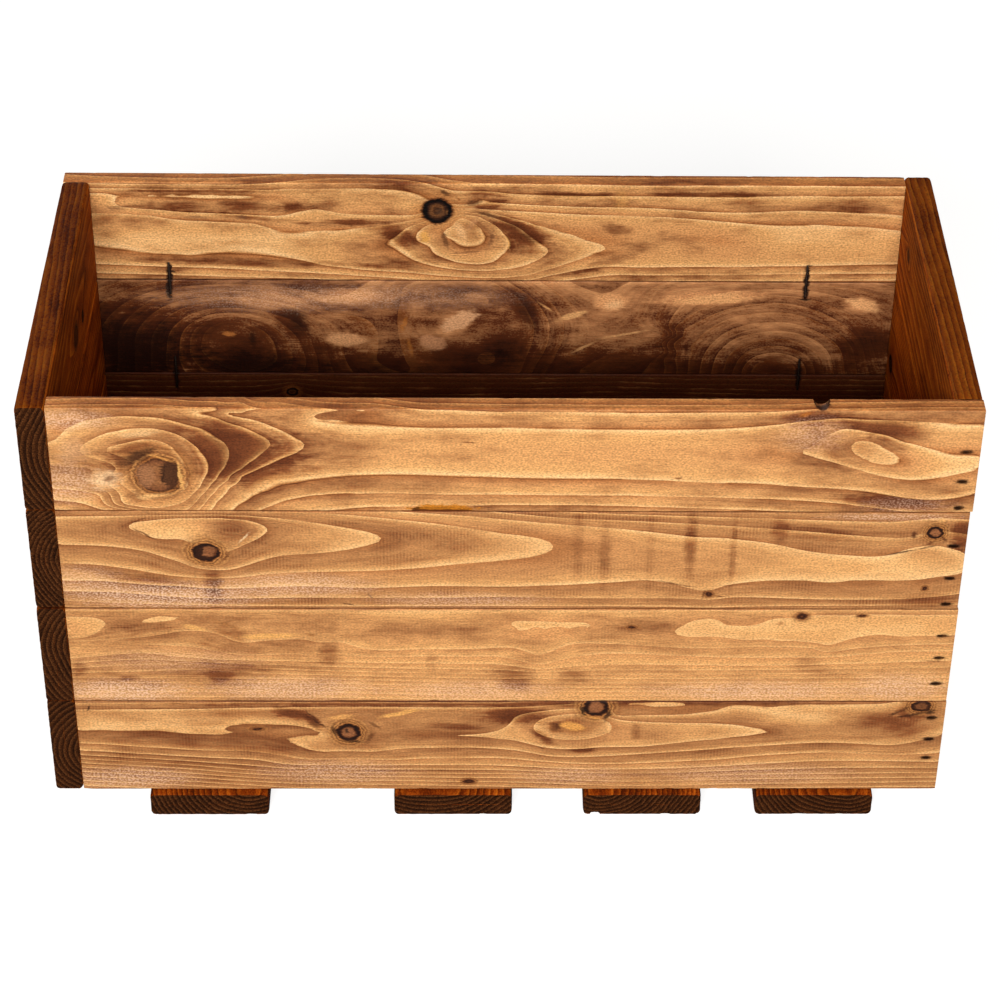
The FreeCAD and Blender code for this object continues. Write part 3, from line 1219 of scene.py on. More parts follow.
@dataclass
class Staples:
    """The wire staples that hold the boards, each bent from one length of flattened wire."""

    corner_radius: float = 1.1
    sides: int = 8
    slot_spread: float = 0.9
    slot_tear: float = 0.35

    def spots(self, group: StapleGroup) -> list[StapleSpot]:
        """Finds each staple of a run in the frame.

        Args:
            group: The run of staples.

        Returns:
            One spot for each staple, in the frame's order.
        """
        node, drive, inward = group.value
        source = bmesh.new()
        source.from_mesh(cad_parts[node].data)
        bmesh.ops.remove_doubles(source, verts=source.verts, dist=1e-5)
        found: list[StapleSpot] = []
        waiting = set(source.verts)
        for start in list(source.verts):
            if start not in waiting:
                continue
            heap, members = [start], []
            waiting.discard(start)
            while heap:
                vertex = heap.pop()
                members.append(vertex.co / MM)
                for edge in vertex.link_edges:
                    other = edge.other_vert(vertex)
                    if other in waiting:
                        waiting.discard(other)
                        heap.append(other)
            low = Vector(min(place[axis] for place in members) for axis in Axis)
            high = Vector(max(place[axis] for place in members) for axis in Axis)
            found.append(StapleSpot(low, high, drive, inward))
        source.free()
        return found

    def wire(self, spot: StapleSpot) -> BMesh:
        """Bends one staple.

        Args:
            spot: Where it is driven.

        Returns:
            The staple in metres.
        """
        half = spot.wire / 2
        first, last = spot.low[spot.across] + half, spot.high[spot.across] - half
        crown = spot.seat + spot.inward * half
        tip = spot.high[spot.drive] if spot.inward > 0 else spot.low[spot.drive]
        bend = self.corner_radius
        path: list[Pair] = [(first, tip)]
        for centre, start in ((first + bend, math.pi), (last - bend, math.pi / 2)):
            for number in range(5):
                turn = start - number / 4 * math.pi / 2
                fall = bend * (1 - math.sin(turn))
                path.append((centre + bend * math.cos(turn), crown + spot.inward * fall))
        path.append((last, tip))
        level = next(axis for axis in Axis if axis not in (spot.drive, spot.across))
        middle = (spot.low[level] + spot.high[level]) / 2
        staple = bmesh.new()
        rings = []
        for number, (place, depth) in enumerate(path):
            before = path[max(number - 1, 0)]
            after = path[min(number + 1, len(path) - 1)]
            heading = Vector((after[0] - before[0], after[1] - before[1])).normalized()
            thin = 0.35 if number in (0, len(path) - 1) else 1.0
            ring = []
            for side in range(self.sides):
                turn = (side + 0.5) / self.sides * 2 * math.pi
                flat = [math.copysign(min(abs(value), 0.8), value) * half * 1.08 * thin
                        for value in (math.cos(turn), math.sin(turn))]
                point = Vector()
                point[spot.across] = place - heading.y * flat[0]
                point[spot.drive] = depth + heading.x * flat[0]
                point[level] = middle + flat[1]
                ring.append(staple.verts.new(point * MM))
            rings.append(ring)
        for ring, following in zip(rings, rings[1:]):
            for index in range(self.sides):
                other = (index + 1) % self.sides
                staple.faces.new((ring[index], ring[other], following[other], following[index]))
        staple.faces.new(rings[0])
        staple.faces.new(rings[-1][::-1])
        bmesh.ops.recalc_face_normals(staple, faces=staple.faces)
        return staple

    def slot(self, spot: StapleSpot, seed: int) -> BMesh:
        """Shapes the torn slot that a crown lies in.

        Args:
            spot: The staple.
            seed: Picks the tear's shape.

        Returns:
            The block to cut away, in metres.
        """
        low, high = spot.low.copy(), spot.high.copy()
        for axis in Axis:
            if axis != spot.drive:
                low[axis] -= self.slot_spread / 2
                high[axis] += self.slot_spread / 2
        outside, bottom = spot.seat - spot.inward * 5.0, spot.seat + spot.inward * (spot.wire + 0.1)
        low[spot.drive], high[spot.drive] = min(outside, bottom), max(outside, bottom)
        return ragged_block(low, high, seed, self.slot_tear)

    def material(self) -> Material:
        """Makes the wire's surface.

        Galvanised mild steel wire, dulled by the stain: grey and half matt, with patches of black tarnish.

        Returns:
            The material.
        """
        material, tree = new_material("tarnished_galvanised_staple_wire")
        coordinates = add(tree, "TexCoord")
        place = add(tree, "VectorMath.SCALE", {0: coordinates.outputs["Object"], 3: 1 / MM})
        patches = add(tree, "TexNoise", {"Vector": place, "Scale": 0.9, "Detail": 3.0})
        colour = set_ramp(add(tree, "ValToRGB", patches), ((0.3, "120a06"), (0.5, "21150e"), (0.62, "3e3129"),
                                                           (0.75, "6e6359")))
        rough = add(tree, "MapRange", patches, 0.3, 0.7, 0.75, 0.4)
        metal = add(tree, "MapRange", patches, 0.55, 0.7)
        drawn = add(tree, "TexNoise", {"Vector": place, "Scale": 6.0, "Detail": 2.0})
        bump = add(tree, "Bump", {"Strength": 0.4, "Distance": 0.1 * MM, "Height": drawn})
        shader = add(tree, "BsdfPrincipled", {"Base Color": colour, "Roughness": rough, "Metallic": metal,
                                              "Normal": bump})
        add(tree, "OutputMaterial", {"Surface": shader})
        return material

    def dress(self) -> None:
        """Bends every staple of every run and puts it in its place."""
        material = self.material()
        for group in StapleGroup:
            node = group.value[0]
            piece = join_meshes(f"{node}_bent", [self.wire(spot) for spot in self.spots(group)])
            finish_piece(piece, node, material)


STAPLES = Staples()


@dataclass
class BoardMaker:
    """Turns frame nodes into finished boards, with the slots and black marks of the staples in them."""

    groups: tuple[StapleGroup, ...] = ()
    mark_spread: Pair = (2.2, 1.7)

    def build(self, plank: Plank, figure: Figure, finish: Finish, slot: str, chips: Sequence[Chip] = (),
              extra: Sequence[BMesh] = ()) -> Object:
        """Shapes, cuts and dresses one board.

        Args:
            plank: The board's shape.
            figure: Its grain.
            finish: Its stain.
            slot: The material slot in the record; not used.
            chips: What has been knocked out of it.
            extra: Any other closed meshes to cut away.

        Returns:
            The finished board.
        """
        lie = plank.lie
        board = plank.shape()
        for tool in list(extra) + [torn_scoop(chip) for chip in chips]:
            cut(board, [tool])
        tools = []
        marks = []
        for group in self.groups:
            for number, spot in enumerate(STAPLES.spots(group)):
                if not self._crosses(plank, spot):
                    continue
                tools.append(STAPLES.slot(spot, number + 1))
                if spot.drive == lie.depth:
                    marks.append(self._mark(lie, spot))
        cut(board, tools)
        if figure.lines:
            GrowthMap(figure.lines).write(board.data, lie)
        surface = StainedTimber(finish, figure, lie, tuple(marks))
        finish_piece(board, plank.node, surface.material(plank.node, plank.joints()))
        return board

    @staticmethod
    def _crosses(plank: Plank, spot: StapleSpot) -> bool:
        """Tells whether a staple's crown is sunk in a board.

        Args:
            plank: The board.
            spot: The staple.

        Returns:
            True where the crown's block meets the board's block.
        """
        for axis in Axis:
            low, high = spot.low[axis], spot.high[axis]
            if axis == spot.drive:
                low = high = spot.seat
            if high < plank.low[axis] or low > plank.high[axis]:
                return False
        return True

    def _mark(self, lie: Lie, spot: StapleSpot) -> NailMark:
        """Places the black mark round a staple.

        Args:
            lie: How the board lies.
            spot: The staple.

        Returns:
            The mark, on the face that the crown lies in.
        """
        middle = (spot.low + spot.high) / 2
        size = spot.high - spot.low
        return NailMark(middle[lie.along], middle[lie.across] - lie.middle,
                        size[lie.along] / 2 + self.mark_spread[0], size[lie.across] / 2 + self.mark_spread[1],
                        (spot.seat - lie.face) * lie.inward)


def wild_figure(seed: int, length: float, ring_width: float = 5.0, take: float = 0.5) -> Figure:
    """Picks a plausible grain for a board that is seen little.

    Args:
        seed: Picks the grain.
        length: The board's length in mm.
        ring_width: One year's growth in mm.
        take: How much stain it took.

    Returns:
        The figure.
    """
    dice = random.Random(seed)
    knots = []
    for _ in range(dice.choice((1, 2, 2, 3))):
        size = dice.uniform(3.0, 9.0)
        knots.append(Knot(dice.uniform(-0.45, 0.45) * length, dice.uniform(-34, 34), size * 1.2, size,
                          dice.choice((KnotKind.LIVE, KnotKind.DEAD, KnotKind.RINGED)),
                          dice.uniform(1.0, 2.5), dice.uniform(2.2, 3.4), dice.uniform(-20, 20)))
    swells = [Swell(dice.uniform(-0.4, 0.4) * length, dice.uniform(-20, 20), dice.uniform(60, 140),
                    dice.uniform(12, 24), dice.uniform(0.5, 1.6)) for _ in range(2)]
    return Figure(seed=seed, ring_width=ring_width * dice.uniform(0.8, 1.3), pith_depth=dice.uniform(15, 70),
                  pith_height=dice.uniform(-30, 30), lean=dice.uniform(-0.05, 0.05), phase=dice.random(),
                  wander=dice.uniform(2.5, 5.0), take=take + dice.uniform(-0.1, 0.1), swells=tuple(swells),
                  knots=tuple(knots))


# The grain of the front wall's boards, from the rim down, as it lies on the real boards: along and
# across each board in mm, measured from its middle.
FRONT_TOP = Figure(
    seed=11, ring_width=6.5, pith_depth=60.0, pith_height=8.5, wander=0.8, take=0.3, patchiness=0.6,
    lines=(
        YearLine(1, (-285, 9, -275, 14, -262, 18, -250, 18, -240, 13, -233, 4, -229, -6, -228, -16, -231, -26,
            -240, -33, -252, -35, -266, -31, -275, -20)),
        YearLine(2, (-296, 18, -285, 24, -270, 28, -252, 28.5, -238, 25, -226, 17, -217, 6, -213, -3,
            -214, -12, -220, -24, -229, -35, -243, -42, -258, -44, -275, -41)),
        YearLine(3, (-322, 18, -308, 32, -290, 37.5, -265, 39.5, -240, 37, -222, 31, -206, 21, -198, 10,
            -199, -1, -205, -12, -212, -22, -220, -33, -231, -46)),
        YearLine(4, (-188, 46.5, -205, 45, -216, 42.5, -203, 38, -187, 31, -173, 23, -167, 16, -171, 9,
            -180, 0, -190, -9, -200, -19, -210, -30, -222, -46)),
        YearLine(5, (-160, 46.5, -182, 45, -196, 43, -182, 38, -165, 31, -150, 22, -142, 14, -147, 8, -160, 1,
            -175, -7, -188, -14, -198, -25, -208, -38, -213, -46)),
        YearLine(6, (-95, 46.5, -122, 44.5, -134, 41, -122, 38, -105, 35, -80, 32.5, -50, 31, 0, 31, 50, 30,
            100, 30, 150, 30.5, 185, 33, 215, 37, 240, 40, 262, 39, 290, 38, 320, 36.5, 350, 36)),
        YearLine(6, (-197, -47, -186, -37, -170, -28, -150, -21, -130, -17, -110, -14.5, -80, -13.5, -50, -14,
            0, -16, 50, -17, 100, -17, 130, -18, 160, -20, 200, -21.5, 230, -24, 255, -26, 280, -30, 300, -34,
            320, -35.5, 335, -34, 350, -30)),
        YearLine(7, (-178, -47, -160, -38, -140, -33, -120, -31, -80, -30, -40, -31, 0, -31, 50, -31.5,
            100, -32, 150, -33, 200, -35, 240, -38, 280, -43, 305, -47)),
        YearLine(8, (-125, -47, -100, -43.5, -60, -42, 0, -41, 50, -41, 100, -42, 150, -43.5, 200, -46)),
        YearLine(6.85, (-60, 45.5, 0, 43, 100, 42.5, 200, 44)), YearLine(3, (-330, -4, -305, -5, -288, -9)),
        YearLine(4, (-330, -26, -308, -27, -292, -33, -275, -46)),
        YearLine(5, (-330, -37, -310, -39, -292, -46)),
        YearLine(4, (254, 15, 262, 20, 274, 17, 287, 8, 292, 2, 286, -3, 272, -1, 259, 6, 254, 15)),
        YearLine(3.8, (263, 13, 272, 9, 282, 4)),
        YearLine(5, (350, 7, 330, 8.5, 310, 13.5, 290, 20, 266, 27.5, 250, 31, 240, 27, 228, 17, 216, 10,
            228, 4, 245, -1, 262, -7, 280, -13, 300, -17, 320, -15.5, 350, -7)),
        YearLine(2.6, (-325, 8)), YearLine(5.45, (-95, 12, -40, 8, 20, 8, 80, 8, 140, 8)),
        YearLine(4.8, (330, 1, 345, 0)),
    ),
    knots=(
        Knot(-250, -14, 16.5, 16.5, KnotKind.LIVE, 0.0, 1.9),
        Knot(-286, -17, 5.0, 3.6, KnotKind.SPIKE, 0.5, 3.4),
    ),
    blurs=(Stain(-304, -2, 46, 40, 0.75), Stain(222, 20, 34, 20, 0.75), Stain(245, -10, 60, 20, 0.4)),
    stains=(
        # The wide Stain(-215, 8) is partly a darker stained patch and partly painted shade over the left of
        # the board.
        Stain(-215, 8, 120, 56, 0.42), Stain(-190, 5, 56, 42, 0.6), Stain(-270, 4, 26, 16, 0.6, 25),
        Stain(-238, -10, 9, 14, 0.5), Stain(-130, 12, 50, 22, 0.3), Stain(-320, 30, 60, 26, -0.35),
        Stain(60, 5, 200, 60, -0.4), Stain(330, 10, 40, 40, -0.5), Stain(272, 33, 46, 14, 0.9, -12),
        Stain(285, 16, 26, 8, 0.7, -22), Stain(290, -38, 60, 12, 0.9, -8), Stain(235, 8, 44, 36, 0.45),
        Stain(222, 38, 26, 10, 0.8),
    ),
    # Painted sheen: pale speckled highlights where raised fibres catch the light.
    painted_sheens=(
        Stain(-318, -22, 30, 26, 0.5), Stain(-312, 36, 44, 12, 0.6), Stain(225, 25, 34, 22, 0.35),
        Stain(300, -40, 50, 10, 0.3),
    ),
    marks=(
        Mark(-290, -18, 17, 12, "e8bc8c", 0.85, 0.8, 10), Mark(-311, 8, 16, 20, "d8a87a", 0.4, 0.9),
        # Painted shade: Mark(-241, -13) darkens the right half of the big knot's heart.
        Mark(-262, 24, 22, 4.5, "e4b880", 0.6, 0.8, 8), Mark(-241, -13, 8.5, 15, "40220f", 0.9, 0.25),
        Mark(-259, -14, 9, 14, "9a6844", 0.7, 0.5), Mark(-246, -12, 1.0, 14, "1e0e06", 0.6, 0.8, -8),
        Mark(-263, 4, 19, 6.5, "3a1c0a", 0.85, 0.7, 32), Mark(-275, -3, 8, 9, "5a3218", 0.6, 0.8, 20),
        Mark(-268, -33, 9, 7, "6e4020", 0.55, 0.8, -20), Mark(-286, -17, 6, 4, "7a4e30", 0.8, 0.8, 20),
        Mark(-234, -14, 2.2, 17, "e0a860", 0.8, 0.6, 6), Mark(-229, -14, 1.2, 16, "7a4420", 0.7, 0.6, 8),
        Mark(-43, -45, 29, 6.0, "b8701a", 0.95, 0.3), Mark(-63, -46, 4, 3.4, "3a1a08", 0.8, 0.6),
        Mark(-24, 17, 9, 0.9, "6a3818"), Mark(130, -15.5, 5, 1.0, "7a4622", 0.9),
        Mark(232, 46, 8, 4.5, "3a1606", 0.95, 0.4, 0, 8.0), Mark(219, 43, 8, 3.0, "b4661c", 0.6, 0.8, 20),
        Mark(-247, 2, 15, 1.6, "d8964e", 0.7, 0.8, -20), Mark(-255, -33, 16, 2.6, "e2ac6c", 0.8, 0.7, 8),
        Mark(-250, 12, 24, 2.2, "6e3c1c", 0.6, 0.9, -16),
    ),
)

FRONT_UPPER = Figure(
    seed=23, ring_width=9.0, pith_depth=30.0, pith_height=18.0, wander=1.0, take=0.42, chatter=0.9,
    patchiness=0.24, line_contrast=0.85,
    lines=(
        YearLine(2, (-200, 9, -188, 16, -176, 24, -176, 34, -190, 39, -220, 40.5, -250, 39.5, -268, 37,
            -275, 33, -268, 27, -262, 23, -250, 20, -237, 20)),
        YearLine(1.8, (-255, 31, -235, 31)), YearLine(1.35, (-205, 28, -190, 27)),
        YearLine(3, (-335, 15, -300, 14, -280, 12, -265, 9, -250, 3, -238, -2, -225, -8, -205, -9.5, -195, -7,
            -180, -1, -165, 4, -145, 6, -120, 9, -100, 14, -87, 20, -95, 27, -120, 33, -150, 38.5, -180, 42,
            -220, 43.5, -270, 42.5, -335, 41.5)),
        YearLine(4, (-335, -3, -305, -4, -285, -7, -265, -11, -245, -15, -225, -17, -205, -17, -180, -14,
            -150, -11.5, -120, -10.5, -90, -9.5, -60, -7, -30, -3, 0, 0, 25, 4, 38, 9, 41, 15, 35, 20, 20, 24,
            0, 27, -20, 31, -50, 36, -80, 40, -110, 43.5, -150, 46.5)),
        YearLine(5, (-335, -20, -300, -20, -280, -22, -260, -24, -240, -25, -220, -27, -200, -27, -150, -25,
            -100, -26.5, -50, -24.5, 0, -25, 30, -24, 60, -22.5, 90, -20, 110, -18, 125, -20, 140, -23.5,
            152, -25.5, 165, -22, 180, -20, 200, -18, 230, -18, 250, -19.5, 265, -17, 300, -15, 325, -12,
            350, -8)),
        YearLine(5, (-70, 46.5, -30, 43.5, 20, 38, 60, 34, 90, 31, 120, 27, 143, 23.5, 165, 22.5, 185, 20,
            205, 16.5, 225, 11, 250, 6.5, 275, 4, 295, 5.5, 312, 12)),
        YearLine(6, (-335, -30, -290, -31, -250, -35, -210, -37, -150, -36, -100, -36, -50, -36, 0, -35,
            50, -36, 110, -36, 150, -35, 170, -34, 200, -35, 240, -37, 280, -37, 310, -36, 350, -31)),
        YearLine(6, (0, 46.5, 50, 41, 100, 38.5, 150, 35.5, 200, 31.5, 250, 26.5, 285, 22.5, 305, 21)),
        YearLine(7, (-335, -39, -250, -43, -150, -44.5, 0, -44, 150, -44, 350, -42)),
        YearLine(7, (90, 45, 200, 41, 260, 38.5, 305, 37, 350, 39)), YearLine(4.35, (100, 5, 110, -6)),
        YearLine(4.7, (200, -2, 270, -6)), YearLine(4.85, (320, -2)),
    ),
    knots=(
        Knot(-219, 8, 11.5, 9.5, KnotKind.RINGED, 0.0, 1.8, -8),
        Knot(324, 28, 7.0, 6.5, KnotKind.RINGED, 0.5, 2.4),
        Knot(158, -32, 3.2, 2.6, KnotKind.SPIKE, 0.35, 4.0),
        Knot(321, -26, 2.4, 2.4, KnotKind.SPIKE, 0.1, 2.0),
    ),
    stains=(
        Stain(-196, 28, 34, 22, 0.5, 10), Stain(-215, -26, 12, 24, 0.7), Stain(-262, -20, 50, 10, 0.6, -6),
        Stain(-300, -8, 40, 8, 0.3, -6), Stain(78, 5, 7, 44, 0.4), Stain(142, 16, 7, 44, 0.6),
        Stain(174, 8, 4, 50, 0.4), Stain(58, 20, 6, 60, 0.25), Stain(112, 10, 5, 60, 0.2),
        Stain(208, 30, 10, 20, 0.4), Stain(240, 26, 60, 10, 0.35, -7), Stain(325, -38, 40, 10, 0.3),
        Stain(345, 26, 12, 22, 0.8), Stain(-240, 31, 40, 12, -0.4), Stain(270, -2, 80, 16, -0.3),
        Stain(-130, 22, 70, 14, -0.15, -5),
    ),
    # Painted sheen: pale speckled highlights where raised fibres catch the light.
    painted_sheens=(
        Stain(-250, -34, 100, 18, 0.75), Stain(-150, -24, 80, 16, 0.55), Stain(-310, -20, 40, 20, 0.4),
        Stain(-30, -38, 90, 10, 0.4), Stain(290, 43, 70, 5, 0.5),
    ),
    marks=(
        Mark(-224, 9, 4.0, 7.2, "2c1206", 0.95, 0.5), Mark(-222, 3, 8.0, 3.0, "2c1206", 0.9, 0.6, -12),
        Mark(-216, 9.5, 6.0, 4.8, "7e4c2c", 0.9, 0.4, -10), Mark(-212, 8, 1.2, 4.0, "5a2e14", 0.8, 0.6, -10),
        Mark(-334, 24, 2.4, 12, "e4c098", 0.6, 0.9), Mark(-333, -30, 2.0, 10, "d8b48c", 0.5, 0.9),
        Mark(308, 26, 2.6, 4.6, "4a200c", 0.85, 0.7), Mark(321, 18, 6, 2.0, "5a2a10", 0.8, 0.8, 30),
        Mark(331, 22, 2.0, 5, "4a200c", 0.8, 0.8, 30), Mark(328, 40, 4, 4, "e0a864", 0.6),
        Mark(-115, -42, 8, 0.9, "3a1c0e", 0.8, 0.8, -12), Mark(-97, -35, 1.6, 6, "4a3630", 0.5, 0.9, 30),
        Mark(-214, -24, 5, 14, "5e3620", 0.45, 0.9), Mark(-190, 22, 9, 1.2, "f0d0a0", 0.6, 0.8, 50),
        Mark(-269, 37.5, 12, 1.1, "5a2c12", 0.8, 0.8, 22), Mark(-264, 25.5, 15, 1.1, "5a2c12", 0.8, 0.8, -32),
        Mark(-203, 5, 7, 1.4, "5a2c12", 0.6, 0.8, 60), Mark(300, 9, 17, 1.2, "3e1c0a", 0.85, 0.8, 14),
        Mark(320, 14, 8, 1.2, "3e1c0a", 0.8, 0.8, 14), Mark(134, -22.5, 20, 0.9, "5a2c12", 0.8, 0.8, -12),
        Mark(166, -34, 7, 1.1, "5a2c12", 0.8, 0.8, -8), Mark(154, -32, 1.6, 6, "4a220e", 0.7, 0.8, -10),
    ),
)

FRONT_LOWER = Figure(
    seed=37, ring_width=5.0, pith_depth=40.0, pith_height=32.0, wander=1.2, take=0.08, patchiness=0.5,
    chatter=0.4, line_contrast=0.62,
    lines=(
        YearLine(2, (-340, 39, -322, 39, -306, 38, -298, 34, -291, 32, -299, 29, -304, 24, -312, 19, -322, 17,
            -340, 16)),
        YearLine(2, (-268, 37, -256, 40, -240, 38.5, -244, 36, -257, 33.5, -268, 37)),
        YearLine(2, (9, 30, 12, 35.5, 25, 35, 45, 34, 60, 34, 70, 31, 66, 28, 52, 25, 35, 22, 20, 20, 13, 24,
            9, 30)),
        YearLine(1.85, (16, 29, 24, 28, 34, 28.5, 44, 29.5, 54, 30.5, 62, 31)),
        YearLine(2, (133, 24, 140, 31, 148, 36, 160, 38, 168, 36, 173, 32, 190, 31, 200, 34, 210, 38, 224, 38,
            240, 41, 280, 42, 350, 42)),
        YearLine(2, (133, 24, 142, 19, 160, 19, 175, 18, 190, 15.5, 215, 15, 235, 14, 250, 11, 262, 14,
            278, 19, 295, 21, 310, 19, 330, 20, 350, 21)),
        YearLine(1.85, (160, 28, 210, 25, 260, 30, 320, 31)),
        YearLine(3, (-340, 13.5, -290, 16, -262, 20, -243, 24, -224, 24, -212, 20, -204, 15, -195, 12.5,
            -182, 14.5, -165, 16, -150, 16, -138, 13, -120, 13, -108, 8, -90, 5, -60, 6, -20, 6.5, 0, 8,
            10, 8, 20, 4.5, 29, 0.5, 38, 3, 48, 9, 58, 12, 80, 12, 100, 11, 140, 8, 170, 8, 200, 10, 240, 8,
            252, 4, 270, 7, 310, 11, 350, 12)),
        YearLine(4, (-340, 1, -315, 5, -300, 9, -280, 11, -255, 10, -232, 8, -215, 4, -203, 1, -185, 0,
            -160, 1, -120, -1, -60, -1, 0, -1, 15, -5, 30, -9, 45, -5, 60, -1, 80, 2, 110, 2, 160, -1,
            200, -2, 255, -1, 300, 4, 350, 5)),
        YearLine(5, (-340, -5, -300, 0, -270, 2, -250, -1, -220, -4, -150, -6, -60, -8, 0, -9, 30, -14,
            60, -11, 100, -9, 200, -10, 300, -7, 350, -5)),
        YearLine(7, (-340, -14, -250, -9, -150, -15, 0, -19, 150, -19, 350, -17)),
        YearLine(9, (-340, -23, -150, -24, 0, -28, 150, -28, 350, -27)),
        YearLine(11, (-340, -33, -150, -33, 0, -37, 150, -37, 350, -37)),
        YearLine(13, (-340, -43, -150, -43, 0, -46, 150, -46, 350, -46)),
        YearLine(3, (-340, 46, 0, 46, 350, 47)), YearLine(2.25, (-190, 30, -100, 28, -40, 27, 100, 28)),
    ),
    knots=(
        Knot(101, 29, 3.5, 1.6, KnotKind.SPIKE, 0.05, 2.0), Knot(230, 40, 5.0, 3.4, KnotKind.SPIKE, 0.1, 2.0),
        Knot(276, 41, 4.0, 1.6, KnotKind.SPIKE, 0.1, 2.4),
    ),
    stains=(
        Stain(-214, -22, 16, 9, 0.65), Stain(-210, -18, 40, 20, 0.35), Stain(-283, -23, 12, 4, 0.6),
        Stain(-322, -14, 10, 14, 0.5), Stain(-130, 2, 12, 20, 0.5), Stain(-52, -6, 7, 16, 0.4),
        Stain(12, -22, 22, 26, 0.65), Stain(55, -20, 18, 14, 0.5), Stain(240, -10, 24, 14, 0.4),
        Stain(-60, 30, 100, 20, 0.15), Stain(110, 28, 30, 16, 0.45), Stain(-205, 22, 20, 12, 0.4, -30),
        # Painted shade: Stain(-240, 0) darkens the left half of the board.
        Stain(-240, 0, 180, 70, 0.35), Stain(38, 29, 30, 8, -0.6), Stain(-316, 28, 22, 9, -0.5),
        Stain(250, 29, 90, 10, -0.5),
    ),
    # Painted sheen: pale speckled highlights where raised fibres catch the light.
    painted_sheens=(
        Stain(-290, -36, 70, 16, 0.8), Stain(-160, -34, 90, 16, 0.6), Stain(-20, -36, 90, 14, 0.5),
        Stain(200, -36, 120, 14, 0.6), Stain(-250, -5, 90, 16, 0.25), Stain(310, -32, 50, 20, 0.6),
    ),
    marks=(
        Mark(-205, 30, 34, 2.4, "a8703c", 0.35, 0.9, -24), Mark(-334, -8, 2.2, 22, "dab68e", 0.5, 0.9),
        Mark(-175, 19.5, 27, 3.2, "e0a45c", 0.75, 0.4, 2), Mark(-232, 28, 11, 2.8, "dfa45e", 0.7, 0.5, -16),
        Mark(-144, 21, 6, 2.0, "8a5428", 0.6, 0.9, -20), Mark(214, 33, 4, 2.6, "8a5226", 0.6, 0.9),
        Mark(50, -13, 14, 0.9, "7e4e2c", 0.6, 0.9), Mark(275, -5, 9, 0.8, "7e4e2c", 0.6, 0.9),
        Mark(335, -5, 12, 0.9, "6e3e20", 0.8, 0.9), Mark(95, -46.5, 36, 1.4, "2e1408"),
        Mark(-110, -46.5, 30, 1.2, "2e1408", 0.7),
    ),
)

